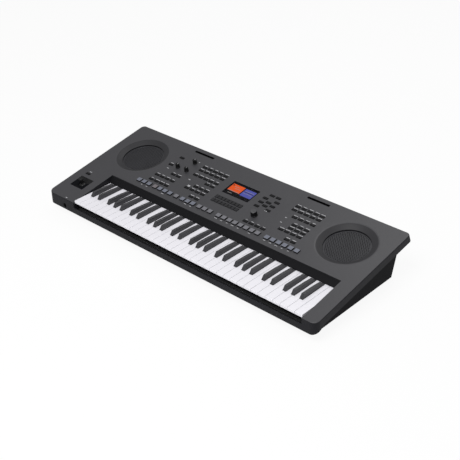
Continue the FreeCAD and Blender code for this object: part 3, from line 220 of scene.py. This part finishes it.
look = {
    "panel": moulded("panel plastic", (0.043, 0.0425, 0.047), 0.44, 0.45 * MM, 0.02 * MM, 0.12, 0.03, 0.5),
    # The dish's slopes are coloured darker than the panel
    "dish": moulded("dish plastic", (0.0245, 0.0242, 0.027), 0.5, 0.45 * MM, 0.02 * MM, 0.12, 0.03, 0.32),
    # Painted shade: the skirt is the panel's plastic, darkened for the shade that falls on its faces
    "skirt": moulded("painted shade skirt", (0.0127, 0.0127, 0.0157), 0.55, 0.45 * MM, 0.02 * MM, 0.12, 0.03,
                     specular=0.12),
    "wall": moulded("slot wall plastic", (0.0088, 0.0088, 0.0102), 0.55, 0.45 * MM, 0.02 * MM, 0.12, 0.03,
                    specular=0.1),
    # Painted shade: near-black for the headphones' jack and the wide ring round its mouth, standing in for a
    # shaded recess
    "jack_shade": moulded("painted jack shade", (0.0012, 0.0012, 0.0014), 0.7, 0.3 * MM, 0.01 * MM, 0.02, 0.1, 0.06),
    "case": moulded("bottom case plastic", (0.0028, 0.0029, 0.0043), 0.6, 0.8 * MM, 0.05 * MM, 0.1, 0.06,
                    specular=0.06),
    "white_key": moulded("white key", (0.79, 0.78, 0.825), 0.24, 0.3 * MM, 0.003 * MM, 0.05, 0.012, 0.5,
                         coat=0.2),
    "black_key": moulded("black key", (0.034, 0.034, 0.038), 0.36, 0.35 * MM, 0.012 * MM, 0.04, 0.08, 0.5,
                         stretch=(1, 0.12, 1)),
    "button": moulded("button rubber", (0.005, 0.005, 0.0058), 0.55, 0.3 * MM, 0.01 * MM, 0.02, 0.1, 0.2),
    "soft_key": moulded("soft key", (0.022, 0.022, 0.024), 0.55, 0.3 * MM, 0.01 * MM, 0.02, 0.08, 0.2),
    "pad": moulded("pad", (0.145, 0.145, 0.16), 0.45, 0.3 * MM, 0.008 * MM, 0.02, 0.05),
    "blue_pad": moulded("blue grey pad", (0.14, 0.15, 0.185), 0.45, 0.3 * MM, 0.008 * MM, 0.02, 0.05),
    "rose_pad": moulded("rose grey pad", (0.155, 0.14, 0.15), 0.45, 0.3 * MM, 0.008 * MM, 0.02, 0.05),
    "knob": moulded("knob", (0.004, 0.004, 0.0045), 0.5, 0.3 * MM, 0.008 * MM, 0.01, 0.1, 0.25),
    "dial_top": moulded("dial top", (0.055, 0.055, 0.059), 0.4, 0.3 * MM, 0.008 * MM, 0.01, 0.05),
    "print": moulded("pale print", (0.52, 0.52, 0.54), 0.6, 0.3 * MM, 0.002 * MM, 0.03, 0.08),
    "grille": moulded("grille metal", (0.027, 0.027, 0.031), 0.5, 0.4 * MM, 0.01 * MM, 0.05, 0.1),
    "joystick": moulded("joystick plastic", (0.005, 0.005, 0.0055), 0.55, 0.3 * MM, 0.01 * MM, 0.02, 0.1,
                        specular=0.2),
    "stick": moulded("stick rubber", (0.006, 0.006, 0.0065), 0.38, 0.25 * MM, 0.012 * MM, 0.02, 0.1, 0.3),
    "rubber": moulded("rubber", (0.014, 0.014, 0.015), 0.8, 0.6 * MM, 0.04 * MM, 0.03, 0.15, 0.25),
    "socket": moulded("socket plastic", (0.008, 0.008, 0.009), 0.5, 0.3 * MM, 0.01 * MM, 0.02, 0.1),
    "nickel": moulded("nickel", (0.6, 0.59, 0.57), 0.28, 0.2 * MM, 0.004 * MM, 0.02, 0.04, metallic=1.0,
                      stretch=(1, 0.1, 1)),
    "dark_screw": moulded("blackened screw", (0.05, 0.05, 0.052), 0.4, 0.2 * MM, 0.004 * MM, 0.01, 0.1,
                          metallic=1.0),
    "frame_plastic": moulded("frame plastic", (0.03, 0.03, 0.031), 0.6),
    "felt": moulded("felt", (0.010, 0.010, 0.011), 0.95, 0.25 * MM, 0.15 * MM, 0.02, 0.2, 0.1),
    "silicone": moulded("silicone", (0.38, 0.38, 0.40), 0.6, 0.4 * MM, 0.01 * MM),
    "ribbon": moulded("ribbon", (0.36, 0.36, 0.38), 0.5, 1.3 * MM, 0.2 * MM, 0.03, 0.08,
                      stretch=(1, 0.01, 0.01)),
    "basket": moulded("pressed basket", (0.03, 0.03, 0.032), 0.5),
    "cone": moulded("cone paper", (0.006, 0.006, 0.006), 0.9, 0.5 * MM, 0.1 * MM, 0.02, 0.2, 0.15),
    "ferrite": moulded("ferrite", (0.06, 0.06, 0.062), 0.7, 0.5 * MM, 0.04 * MM, 0.02, 0.15),
    "board": board_finish("circuit board"),
    "lens": clear_lens("display lens"),
    "screen": moulded("dark screen", (0.003, 0.003, 0.0035), 0.4, 0.3 * MM, 0.002 * MM, 0.02, 0.1, 0.1),
    "orange": glowing("orange field", (0.83, 0.098, 0.006), 1.0, 0.9 * MM),
    "blue": glowing("blue field", (0.082, 0.095, 0.42), 1.0, 0.9 * MM),
    "pale_field": glowing("pale field", (0.55, 0.50, 0.48), 0.6, 0.9 * MM),
}


# Meshes made from the solids

def solid_of(node):
    """A clean copy of a solid's mesh, with whole flat faces in place of triangles."""
    mesh = bmesh.new()
    mesh.from_mesh(nodes[node].data)
    bmesh.ops.remove_doubles(mesh, verts=mesh.verts, dist=WELD)
    bmesh.ops.dissolve_limit(mesh, angle_limit=FLAT, verts=mesh.verts, edges=mesh.edges)
    mesh.normal_update()
    return mesh


def sharp_edges(mesh, keep=None):
    edges = [edge for edge in mesh.edges if edge.is_manifold and edge.calc_face_angle() > SHARP]
    if keep is None:
        return edges
    return [edge for edge in edges if all(keep(vertex.co) for vertex in edge.verts)]


def soften(mesh, edges, width, segments=2):
    bmesh.ops.bevel(mesh, geom=edges, offset=width, offset_type="OFFSET", segments=segments, profile=0.5,
                    affect="EDGES", clamp_overlap=True)
    mesh.normal_update()


def add_piece(name, mesh, body, materials, replaced=()):
    """Turns a bmesh into a piece that rides on a body and takes the place of its nodes."""
    data = bpy.data.meshes.new(name)
    mesh.to_mesh(data)
    mesh.free()
    for material in materials:
        data.materials.append(look[material])
    data.polygons.foreach_set("use_smooth", [True] * len(data.polygons))
    data.set_sharp_from_angle(angle=CREASE)
    piece = bpy.data.objects.new(name, data)
    bpy.context.scene.collection.objects.link(piece)
    normals = piece.modifiers.new("flat faces stay flat", "WEIGHTED_NORMAL")
    normals.keep_sharp = True
    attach(piece, body)
    if replaced:
        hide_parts(*replaced)


def dress(node, material, width=0.0, segments=2, keep=None):
    """Replaces a node by its own shape with softened edges."""
    mesh = solid_of(node)
    if width:
        soften(mesh, sharp_edges(mesh, keep), width, segments)
    add_piece(node + "_look", mesh, body_of[node], [material], [node])


def paint(node, material):
    """Gives a solid that keeps its shape its finish."""
    data = nodes[node].data
    data.materials.clear()
    data.materials.append(look[material])


def ring(mesh, centre, side, other, radius, count, wave=None):
    """A closed ring of points round a centre."""
    points = []
    for index in range(count):
        angle = 2 * math.pi * index / count
        reach = radius * (wave(angle) if wave else 1.0)
        place = centre + side * (reach * math.cos(angle)) + other * (reach * math.sin(angle))
        points.append(mesh.verts.new(place))
    return points


def bridge(mesh, first, second):
    """A band of faces between two rings of as many points."""
    count = len(first)
    for index in range(count):
        after = (index + 1) % count
        mesh.faces.new((first[index], first[after], second[after], second[index]))


def turned(mesh, seat, axis, profile, count, flutes=0, flute_share=0.0):
    """A turned shape: (radius, height, fluted) rings from the bottom up, closed at both ends."""
    side = axis.orthogonal().normalized()
    other = axis.cross(side)

    def fluted_wave(angle):
        return 1.0 - flute_share * (0.5 + 0.5 * math.cos(flutes * angle))

    rings = []
    for radius, height, fluted in profile:
        wave = fluted_wave if fluted else None
        rings.append(ring(mesh, seat + axis * height, side, other, radius, count, wave))
    mesh.faces.new(list(reversed(rings[0])))
    for first, second in zip(rings, rings[1:]):
        bridge(mesh, first, second)
    mesh.faces.new(rings[-1])


def slab(mesh, x, up, width, depth, low, high):
    """A flat box lying on the panel. Gives back its top face."""
    corners = []
    for out in (low, high):
        for sx, su in ((-0.5, -0.5), (0.5, -0.5), (0.5, 0.5), (-0.5, 0.5)):
            corners.append(mesh.verts.new(on_panel(x + sx * width, up + su * depth, out)))
    bottom, top = corners[:4], corners[4:]
    mesh.faces.new(list(reversed(bottom)))
    bridge(mesh, bottom, top)
    return mesh.faces.new(top)


# Case

def dish_rims(mesh):
    """Edges where the panel turns down into the speaker dishes."""
    nearest_share, farthest_share = 1.2, 1.36
    rims = []
    for node in ("left_speaker_grille", "right_speaker_grille"):
        low, high = panel_span(node)
        x, up = (low[0] + high[0]) / 2, (low[1] + high[1]) / 2
        radius = (high[0] - low[0]) / 2
        for edge in mesh.edges:
            places = [panel_place(vertex.co) for vertex in edge.verts]
            reaches = [math.hypot(place[0] - x, place[1] - up) / radius for place in places]
            level = all(abs(place[2]) < LEVEL for place in places)
            around = all(nearest_share < reach < farthest_share for reach in reaches)
            if level and around and edge.calc_face_angle() > FLAT:
                rims.append(edge)
    return rims


def panel_rims(mesh):
    """Edges where the panel meets the tall faces of the skirt and of the key slot."""
    turned_away = 0.9
    tall = 10 * MM
    rims = []
    for edge in mesh.edges:
        tops = [face for face in edge.link_faces if face.normal.dot(outward) > ALONG_PANEL]
        walls = [face for face in edge.link_faces if face.normal.dot(outward) < turned_away]
        if len(tops) == 1 and len(walls) == 1:
            drops = [panel_place(vertex.co)[2] for vertex in walls[0].verts]
            if max(drops) - min(drops) > tall and max(drops) > -LEVEL:
                rims.append(edge)
    return rims


def dress_top_case():
    """Panel and skirt in one shell: the panel is paler than the skirt, whose darker copy of the panel plastic is
    painted shade, and the walls inside its openings are painted near-black as the shade in them.
    """
    dish_round, panel_round = 4.5 * MM, 1.0 * MM
    panel_skin, opening_shade_depth, dish_depth = 1 * MM, 4 * MM, 10 * MM
    margin = 12 * MM
    slot_rear = 100 * MM
    faces_front = -0.7
    finishes = ["panel", "skirt", "case", "dish", "wall"]
    mesh = solid_of("top_case")
    soften(mesh, dish_rims(mesh), dish_round, 5)
    soften(mesh, panel_rims(mesh), panel_round, 3)
    rear = max(panel_place(vertex.co)[1] for vertex in mesh.verts)
    for face in mesh.faces:
        x, up, height = panel_place(face.calc_center_median())
        facing = face.normal.dot(outward)
        inside = abs(x) < case_high.x - margin and margin < up < rear - margin
        if facing > NEARLY_ALONG and height > -panel_skin:
            finish = "panel"
        elif SLOPING < facing < ALONG_PANEL and height > -dish_depth:
            finish = "dish" if inside else "panel"
        # Painted shade: upright walls inside the openings near the panel get the near-black case finish in place
        # of the shade within them; sunken floors there take it too
        elif inside and (abs(facing) < UPRIGHT or facing > ALONG_PANEL) and height > -opening_shade_depth:
            finish = "case"
        elif inside and face.normal.y < faces_front and up > slot_rear:
            finish = "wall"
        else:
            # painted shade: every other face takes the darker skirt copy of the panel plastic
            finish = "skirt"
        face.material_index = finishes.index(finish)
    add_piece("top_case_look", mesh, "case", finishes, ["top_case"])


def dress_bottom_case():
    edge_round = 0.8 * MM
    dress("bottom_case", "case", edge_round, 2)


def dress_feet():
    low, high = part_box("rubber_feet")
    radius = 11 * MM
    mesh = bmesh.new()
    for x in (low.x + radius, 0.5 * (low.x + high.x), high.x - radius):
        for y in (low.y + radius, high.y - radius):
            profile = [
                (radius * 0.80, 0.0, False),
                (radius * 0.92, 0.3 * MM, False),
                (radius * 0.97, 0.9 * MM, False),
                (radius, high.z * 0.5, False),
                (radius, high.z, False),
            ]
            turned(mesh, Vector((x, y, low.z)), Vector((0, 0, 1)), profile, 40)
    add_piece("rubber_feet_look", mesh, "case", ["rubber"], ["rubber_feet"])


# Keys

def dress_white_keys(node):
    """White keys with a rounded front edge and softened sides."""
    front_round, side_round = 1.8 * MM, 0.35 * MM
    front_skin = 0.1 * MM
    low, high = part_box(node)
    lip_foot = high.z - 9 * MM
    mesh = solid_of(node)
    front = [
        edge
        for edge in sharp_edges(mesh)
        if all(v.co.z > high.z - WELD and v.co.y < low.y + front_skin for v in edge.verts)
    ]
    soften(mesh, front, front_round, 4)
    soften(mesh, sharp_edges(mesh, lambda place: place.z > lip_foot), side_round, 2)
    add_piece(node + "_look", mesh, body_of[node], ["white_key"], [node])


def dress_black_keys(node):
    """Black keys with rounded tops."""
    top_round = 0.8 * MM
    _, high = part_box(node)
    top_foot = high.z - 12 * MM
    mesh = solid_of(node)
    soften(mesh, sharp_edges(mesh, lambda place: place.z > top_foot), top_round, 3)
    add_piece(node + "_look", mesh, body_of[node], ["black_key"], [node])


def dress_keys():
    for node in nodes:
        if node.endswith("_black_keys"):
            dress_black_keys(node)
        elif "_keys_" in node or node == "top_c_key":
            dress_white_keys(node)


# Buttons and pads

def stands_out(place):
    """Whether a place lies above the panel's surface or just under it."""
    return panel_place(place)[2] > -CAP_FOOT


def cap_places(node):
    """Middle and size of every cap of a bank, read from its solid's top faces."""
    top_skin = 0.1 * MM
    _, high = panel_span(node)
    mesh = solid_of(node)
    caps = []
    for face in mesh.faces:
        places = [panel_place(vertex.co) for vertex in face.verts]
        lowest = min(place[2] for place in places)
        if face.normal.dot(outward) > ALONG_PANEL and lowest > high[2] - top_skin:
            xs = [place[0] for place in places]
            ups = [place[1] for place in places]
            middle = (min(xs) + max(xs)) / 2, (min(ups) + max(ups)) / 2
            caps.append((*middle, max(xs) - min(xs), max(ups) - min(ups)))
    mesh.free()
    return sorted(caps)


button_banks = ("left_buttons", "centre_buttons", "cursor_buttons", "right_buttons", "standby_button",
                "joystick_button")
pad_tints = ["blue_pad"] * 3 + ["rose_pad"] + ["blue_pad"] * 3 + ["pad"] + ["blue_pad"] * 3 + ["pad"] * 11
pad_tints += ["blue_pad"] * 6


def dress_buttons():
    cap_round = 0.5 * MM
    for node in button_banks:
        dress(node, "button", cap_round, 3, stands_out)
    dress("soft_keys", "soft_key", cap_round, 3, stands_out)


def dress_pads():
    """Dark pads with soft edges and tops tinted group by group."""
    cap_round, top_skin = 0.6 * MM, 0.4 * MM
    names = ["button", "pad", "blue_pad", "rose_pad"]
    tints = iter(pad_tints)
    for node in ("left_pads", "right_pads"):
        _, high = panel_span(node)
        mesh = solid_of(node)
        soften(mesh, sharp_edges(mesh, stands_out), cap_round, 3)
        for x, _, width, _ in cap_places(node):
            index = names.index(next(tints))
            for face in mesh.faces:
                place_x, _, out = panel_place(face.calc_center_median())
                if abs(place_x - x) <= width / 2 + WELD and out > high[2] - top_skin:
                    face.material_index = index
        add_piece(node + "_look", mesh, body_of[node], names, [node])


# Rotary controls

def knob_foot(bottom, skirt, grip):
    """Rings of a knob's stem and skirt, up to the foot of its fluted grip."""
    stem = 2.0 * MM
    lift = 0.7 * MM
    return [
        (stem, bottom, False),
        (stem, lift, False),
        (skirt * 0.96, lift, False),
        (skirt, lift + 0.4 * MM, False),
        (skirt, lift + 1.6 * MM, False),
        (skirt * 0.97, lift + 2.1 * MM, False),
        (grip, lift + 2.6 * MM, True),
    ]


def dress_knob(node):
    """Fluted knob with a pale pointer."""
    seat = Vector(joints[node + "_turn"]["pos_m"])
    low, high = panel_span(node)
    bottom, top = low[2], high[2]
    skirt = (high[0] - low[0]) / 2
    grip = skirt * 0.91
    pointer_width, pointer_sink, pointer_rise = 1.0 * MM, 0.1 * MM, 0.06 * MM
    profile = knob_foot(bottom, skirt, grip) + [
        (grip * 0.95, top - 0.8 * MM, True),
        (grip * 0.90, top - 0.2 * MM, True),
        (grip * 0.84, top, False),
    ]
    mesh = bmesh.new()
    turned(mesh, seat, outward, profile, 120, 20, 0.07)
    x, up, _ = panel_place(seat)
    pointer = slab(mesh, x, up + grip * 0.5, pointer_width, grip * 0.62, top - pointer_sink,
                   top + pointer_rise)
    for face in [pointer] + [other for edge in pointer.edges for other in edge.link_faces]:
        face.material_index = 1
    add_piece(node + "_look", mesh, body_of[node], ["knob", "print"], [node])


def dress_dial():
    """Data dial: finely fluted black side and a paler top with a finger dimple."""
    node = "data_dial"
    low, high = panel_span(node)
    bottom, top = low[2], high[2]
    skirt = (high[0] - low[0]) / 2
    grip = skirt * 0.935
    top_skin = 0.6 * MM
    profile = knob_foot(bottom, skirt, grip) + [
        (grip, top - 1.4 * MM, True),
        (grip * 0.97, top - 0.5 * MM, False),
        (grip * 0.90, top, False),
        (grip * 0.55, top - 0.3 * MM, False),
        (grip * 0.15, top - 0.45 * MM, False),
    ]
    mesh = bmesh.new()
    turned(mesh, dial_seat, outward, profile, 144, 36, 0.05)
    for face in mesh.faces:
        _, _, out = panel_place(face.calc_center_median())
        face.material_index = 1 if out > top - top_skin else 0
    add_piece("data_dial_look", mesh, body_of[node], ["knob", "dial_top"], [node])


# Speakers

def dress_grille(node):
    """Perforated sheet of hexagonal holes in a plain rim."""
    low, high = panel_span(node)
    x, up = (low[0] + high[0]) / 2, (low[1] + high[1]) / 2
    radius = (high[0] - low[0]) / 2
    sheet_sink, hole_margin = 0.3 * MM, 0.3 * MM
    bottom, top = low[2], high[2] - sheet_sink
    pitch = 5.4 * MM
    hole_share = 0.62
    rim = 3.8 * MM
    rim_round = 0.4 * MM
    corner = pitch / math.sqrt(3)
    hole = corner * hole_share
    row_pitch = pitch * math.sqrt(0.75)
    sheet_edge = radius - rim_round
    last_cell = sheet_edge - hole - hole_margin
    mesh = bmesh.new()

    def corner_place(cell_x, cell_up, step, reach, out):
        place_x = cell_x + reach * math.sin(math.pi * step / 3)
        place_up = cell_up - reach * math.cos(math.pi * step / 3)
        pull = min(1.0, sheet_edge / math.hypot(place_x, place_up))
        return on_panel(x + place_x * pull, up + place_up * pull, out)

    rows = int(radius / row_pitch) + 1
    for row in range(-rows, rows + 1):
        for column in range(-rows - 1, rows + 2):
            cell_x = (column + 0.5 * (row % 2)) * pitch
            cell_up = row * row_pitch
            if math.hypot(cell_x, cell_up) > last_cell:
                continue
            loops = []
            for reach, out in ((corner, bottom), (corner, top), (hole, top), (hole, bottom)):
                loops.append([
                    mesh.verts.new(corner_place(cell_x, cell_up, step, reach, out))
                    for step in range(6)
                ])
            bridge(mesh, loops[1], loops[2])
            bridge(mesh, loops[2], loops[3])
            bridge(mesh, loops[3], loops[0])
            for step in range(6):
                toward = math.pi * (step + 0.5) / 3
                beside = math.hypot(cell_x + pitch * math.sin(toward), cell_up - pitch * math.cos(toward))
                if beside > last_cell:
                    after = (step + 1) % 6
                    mesh.faces.new((loops[0][step], loops[0][after], loops[1][after], loops[1][step]))
    bmesh.ops.remove_doubles(mesh, verts=mesh.verts, dist=5 * WELD)
    count = 120
    seat = on_panel(x, up)
    inner = radius - rim
    profile = [(radius, bottom), (radius, high[2] - rim_round), (radius - rim_round, high[2]),
               (inner + rim_round, high[2]), (inner, high[2] - rim_round), (inner, bottom)]
    loops = [ring(mesh, seat + outward * out, across, uphill, reach, count) for reach, out in profile]
    for first, second in zip(loops, loops[1:] + loops[:1]):
        bridge(mesh, first, second)
    mesh.normal_update()
    add_piece(node + "_look", mesh, "case", ["grille"], [node])


# Joystick

def dress_joystick():
    """Plate painted in two tones as painted shade: the darker front part stands in for a deep pocket's shaded
    floor, the rear part for its lit rear wall.
    """
    shaded_share = 0.6
    plate_round, gimbal_round = 0.5 * MM, 0.3 * MM
    low, high = panel_span("joystick_base")
    shade_edge = low[1] + shaded_share * (high[1] - low[1])
    mesh = solid_of("joystick_base")
    soften(mesh, sharp_edges(mesh, stands_out), plate_round, 2)
    geometry = mesh.verts[:] + mesh.edges[:] + mesh.faces[:]
    bmesh.ops.bisect_plane(mesh, geom=geometry, plane_co=on_panel(0, shade_edge), plane_no=uphill)
    # painted shade: faces in front of the edge take the darker case finish
    for face in mesh.faces:
        face.material_index = 1 if panel_place(face.calc_center_median())[1] < shade_edge else 0
    add_piece("joystick_base_look", mesh, "case", ["joystick", "case"],
              ["joystick_base"])
    dress("joystick_stick", "stick")
    dress("joystick_gimbal", "joystick", gimbal_round)


# Display

def dress_display():
    """Dark module with plain lit fields under a clear lens."""
    lens_round = 0.25 * MM
    dress("display_lens", "lens", lens_round, 2)
    low, high = panel_span("display_module")
    lens_low, _ = panel_span("display_lens")
    x, up = (low[0] + high[0]) / 2, (low[1] + high[1]) / 2
    half_width = 45 * MM
    half_depth = 25 * MM
    lens_gap, screen_inset, screen_sink = 0.3 * MM, 0.6 * MM, 0.1 * MM
    field_sink, field_rise, field_step = 0.05 * MM, 0.04 * MM, 0.02 * MM
    screen_top = lens_low[2] - lens_gap
    mesh = solid_of("display_module")
    slab(mesh, x, up, 2 * half_width - screen_inset, 2 * half_depth - screen_inset, high[2] - screen_sink,
         screen_top)
    # Middle, width and depth in shares of the half sizes, and the finish: screen, orange, blue or pale
    field_shares = [
        (-0.49, 0.22, 0.98, 1.22, 1),
        (0.53, 0.13, 0.88, 1.28, 2),
        (-0.49, -0.34, 0.90, 0.06, 3),
        (-0.87, 0.60, 0.10, 0.17, 0),
        (-0.52, 0.46, 0.40, 0.06, 3),
        (-0.38, 0.18, 0.48, 0.06, 3),
        (-0.60, -0.74, 0.34, 0.06, 3),
        (0.53, 0.40, 0.70, 0.05, 3),
        (0.53, 0.24, 0.78, 0.07, 0),
        (0.53, 0.02, 0.70, 0.05, 3),
    ]
    for order, (x_share, up_share, width_share, depth_share, material) in enumerate(field_shares):
        top = screen_top + field_rise + field_step * order
        face = slab(mesh, x + x_share * half_width, up + up_share * half_depth, width_share * half_width,
                    depth_share * half_depth, screen_top - field_sink, top)
        face.material_index = material
    add_piece("display_module_look", mesh, "case",
              ["screen", "orange", "blue", "pale_field"], ["display_module"])


# Print on the panel

PRINT_SINK = 0.02 * MM
PRINT_RISE = 0.04 * MM


def word(mesh, x, up, length, height):
    """A label: a short row of plain dashes."""
    shortest, gap = 1.0 * MM, 0.8 * MM
    cursor = x - length / 2
    while cursor < x + length / 2 - shortest:
        dash = min(draw.uniform(2.0, 4.5) * MM, x + length / 2 - cursor)
        slab(mesh, cursor + dash / 2, up, dash, height, -PRINT_SINK, PRINT_RISE)
        cursor += dash + gap


# Single marks: place across and up the panel, length and height, in millimetres
loose_marks = (
    (-150, 241, 9, 2.6),
    (-170, 263, 8, 1.6),
    (-267, 271, 8, 1.6),
    (184, 276, 6, 1.5),
    (184, 254, 6, 1.5),
    (118, 269, 9, 2.2),
    (-203, 341, 5, 1.5),
    (-427, 6.5, 7, 1.8),
    (-460, 132, 8, 1.8),
)


def dress_print():
    """Plain dashes where the panel is printed beside its controls."""
    button_gap, pad_gap = 3.8 * MM, 5.0 * MM
    button_height, page_height, pad_height = 1.8 * MM, 1.4 * MM, 1.6 * MM
    one_row = 1 * MM
    mesh = bmesh.new()
    for node in ("left_buttons", "centre_buttons", "right_buttons"):
        for x, up, width, depth in cap_places(node):
            word(mesh, x, up + depth / 2 + button_gap, width * draw.uniform(0.6, 1.05), button_height)
    cursor_caps = cap_places("cursor_buttons")
    page_row = min(up for _, up, _, _ in cursor_caps)
    for x, up, width, depth in cursor_caps:
        if up < page_row + one_row:
            word(mesh, x, up + depth / 2 + button_gap, width * draw.uniform(0.5, 0.8), page_height)
    for node in ("left_pads", "right_pads"):
        for x, up, width, depth in cap_places(node):
            if draw.random() < 0.6:
                word(mesh, x, up - depth / 2 - pad_gap, width * draw.uniform(0.4, 0.7), pad_height)
    for x, up, length, height in loose_marks:
        slab(mesh, x * MM, up * MM, length * MM, height * MM, -PRINT_SINK, PRINT_RISE)
    add_piece("panel_print", mesh, "case", ["print"])


# Sockets

def dress_sockets():
    """Jack bushes with a ring round each mouth: dark at the headphones' jack, plated at the rear."""
    sink, rise, inner_round, outer_round = 0.05 * MM, 0.3 * MM, 0.1 * MM, 0.2 * MM
    for node in ("headphone_jack", "rear_jacks"):
        finish = "jack_shade" if node == "headphone_jack" else "socket"
        add_piece(node + "_look", solid_of(node), "case", [finish], [node])
    for mount in frame["record"]["mounts"]:
        if mount["kind"] != "bore":
            continue
        name = mount["name"]
        axis = Vector(mount["axis"]).normalized()
        mouth = Vector(mount["pos_m"]) + axis * (mount["dims"]["length_mm"] * MM / 2)
        inner = mount["dims"]["r_mm"] * MM
        ring_mesh = bmesh.new()
        side = axis.orthogonal().normalized()
        other = axis.cross(side)
        # painted shade: the headphones' ring is wide and near-black, standing in for the shaded recess round the
        # mouth
        finish, width = ("jack_shade", 3.0 * MM) if name.startswith("headphone") else ("nickel", 1.1 * MM)
        profile = [(inner, -sink), (inner + inner_round, rise), (inner + width - outer_round, rise),
                   (inner + width, -sink)]
        loops = [ring(ring_mesh, mouth + axis * out, side, other, reach, 48) for reach, out in profile]
        for first, second in zip(loops, loops[1:] + loops[:1]):
            bridge(ring_mesh, first, second)
        bmesh.ops.recalc_face_normals(ring_mesh, faces=ring_mesh.faces)
        add_piece(name + "_ring", ring_mesh, "case", [finish])


def paint_the_rest():
    """Pieces inside the case and small trim, which keep their own shapes."""
    finishes = {
        "case_screws": "dark_screw",
        "key_frame": "frame_plastic",
        "key_stop_felt": "felt",
        "key_contact_board": "board",
        "contact_rubber_strip": "silicone",
        "key_hinge_clamp": "nickel",
        "panel_boards": "board",
        "main_board": "board",
        "ribbon_cables": "ribbon",
        "potentiometers": "nickel",
        "dial_encoder": "nickel",
        "usb_ports": "nickel",
        "dc_inlet": "socket",
    }
    for side in ("left", "right"):
        finishes[side + "_speaker_basket"] = "basket"
        finishes[side + "_speaker_cone"] = "cone"
        finishes[side + "_speaker_magnet"] = "ferrite"
    for node, material in finishes.items():
        paint(node, material)


# Stage

def white_to_camera(tree, share):
    """How much plain white the camera, gloss and glass see in place of a lit surface."""
    path = add_node(tree, "ShaderNodeLightPath")
    seen = add_node(tree, "ShaderNodeMath", operation="MAXIMUM")
    also = add_node(tree, "ShaderNodeMath", operation="MAXIMUM")
    part = add_node(tree, "ShaderNodeMath", operation="MULTIPLY")
    part.inputs[1].default_value = share
    tree.links.new(path.outputs["Is Camera Ray"], seen.inputs[0])
    tree.links.new(path.outputs["Is Glossy Ray"], seen.inputs[1])
    tree.links.new(seen.outputs["Value"], also.inputs[0])
    tree.links.new(path.outputs["Is Transmission Ray"], also.inputs[1])
    tree.links.new(also.outputs["Value"], part.inputs[0])
    return part.outputs["Value"]


def make_floor():
    """Pale floor that keeps the shadow and is near white to the camera."""
    half = 30.0
    level = -0.2 * MM
    mesh = bmesh.new()
    outline = ((-half, -half), (half, -half), (half, half), (-half, half))
    mesh.faces.new([mesh.verts.new((x, y, level)) for x, y in outline])
    data = bpy.data.meshes.new("floor")
    mesh.to_mesh(data)
    mesh.free()
    material, tree, shader = new_material("pale floor")
    shader.inputs["Base Color"].default_value = (0.85, 0.85, 0.85, 1)
    shader.inputs["Roughness"].default_value = 0.9
    shader.inputs["Specular IOR Level"].default_value = 0.0
    white = add_node(tree, "ShaderNodeEmission")
    mix = add_node(tree, "ShaderNodeMixShader")
    tree.links.new(white_to_camera(tree, 0.92), mix.inputs["Fac"])
    tree.links.new(shader.outputs["BSDF"], mix.inputs[1])
    tree.links.new(white.outputs["Emission"], mix.inputs[2])
    tree.links.new(mix.outputs["Shader"], tree.nodes["Material Output"].inputs["Surface"])
    data.materials.append(material)
    floor = bpy.data.objects.new("floor", data)
    bpy.context.scene.collection.objects.link(floor)


def make_world():
    """Even light from all around, which the camera sees as plain white."""
    world = bpy.data.worlds.new("studio")
    bpy.context.scene.world = world
    world.use_nodes = True
    tree = world.node_tree
    dim = tree.nodes["Background"]
    dim.inputs["Color"].default_value = (1, 1, 1, 1)
    dim.inputs["Strength"].default_value = 0.38
    white = add_node(tree, "ShaderNodeBackground")
    path = add_node(tree, "ShaderNodeLightPath")
    mix = add_node(tree, "ShaderNodeMixShader")
    tree.links.new(path.outputs["Is Camera Ray"], mix.inputs["Fac"])
    tree.links.new(dim.outputs["Background"], mix.inputs[1])
    tree.links.new(white.outputs["Background"], mix.inputs[2])
    tree.links.new(mix.outputs["Shader"], tree.nodes["World Output"].inputs["Surface"])


def aim(item, place, target):
    item.location = place
    item.rotation_euler = (target - place).to_track_quat("-Z", "Y").to_euler()


light_target = Vector((0, 0, 0.05))


def add_soft_light(name, place, size, power):
    light = bpy.data.lights.new(name, "AREA")
    light.shape = "DISK"
    light.size = size
    light.energy = power
    item = bpy.data.objects.new(name, light)
    bpy.context.scene.collection.objects.link(item)
    aim(item, Vector(place), light_target)


def make_camera():
    data = bpy.data.cameras.new("camera")
    data.lens = camera_lens
    data.sensor_fit = "HORIZONTAL"
    data.sensor_width = camera_sensor
    camera = bpy.data.objects.new("camera", data)
    bpy.context.scene.collection.objects.link(camera)
    level = math.cos(camera_elevation)
    forward = Vector((
        -math.sin(camera_azimuth) * level,
        math.cos(camera_azimuth) * level,
        -math.sin(camera_elevation),
    ))
    right = forward.cross(Vector((0, 0, 1))).normalized()
    up = right.cross(forward)
    tilted_right = right * math.cos(camera_roll) + up * math.sin(camera_roll)
    tilted_up = tilted_right.cross(forward)
    turn = Matrix((tilted_right, tilted_up, -forward)).transposed()
    camera.matrix_world = Matrix.Translation(camera_place) @ turn.to_4x4()
    bpy.context.scene.camera = camera


dress_top_case()
dress_bottom_case()
dress_feet()
dress_keys()
dress_buttons()
dress_pads()
for knob in ("volume_knob", "left_knob", "right_knob"):
    dress_knob(knob)
dress_dial()
for grille in ("left_speaker_grille", "right_speaker_grille"):
    dress_grille(grille)
dress_joystick()
dress_display()
dress_print()
dress_sockets()
paint_the_rest()

make_floor()
make_world()
add_soft_light("key light", (0.5, -1.45, 2.35), 1.6, 56)
add_soft_light("back light", (-0.3, 1.5, 2.3), 1.6, 13)
make_camera()
bpy.context.scene.view_settings.view_transform = "Standard"
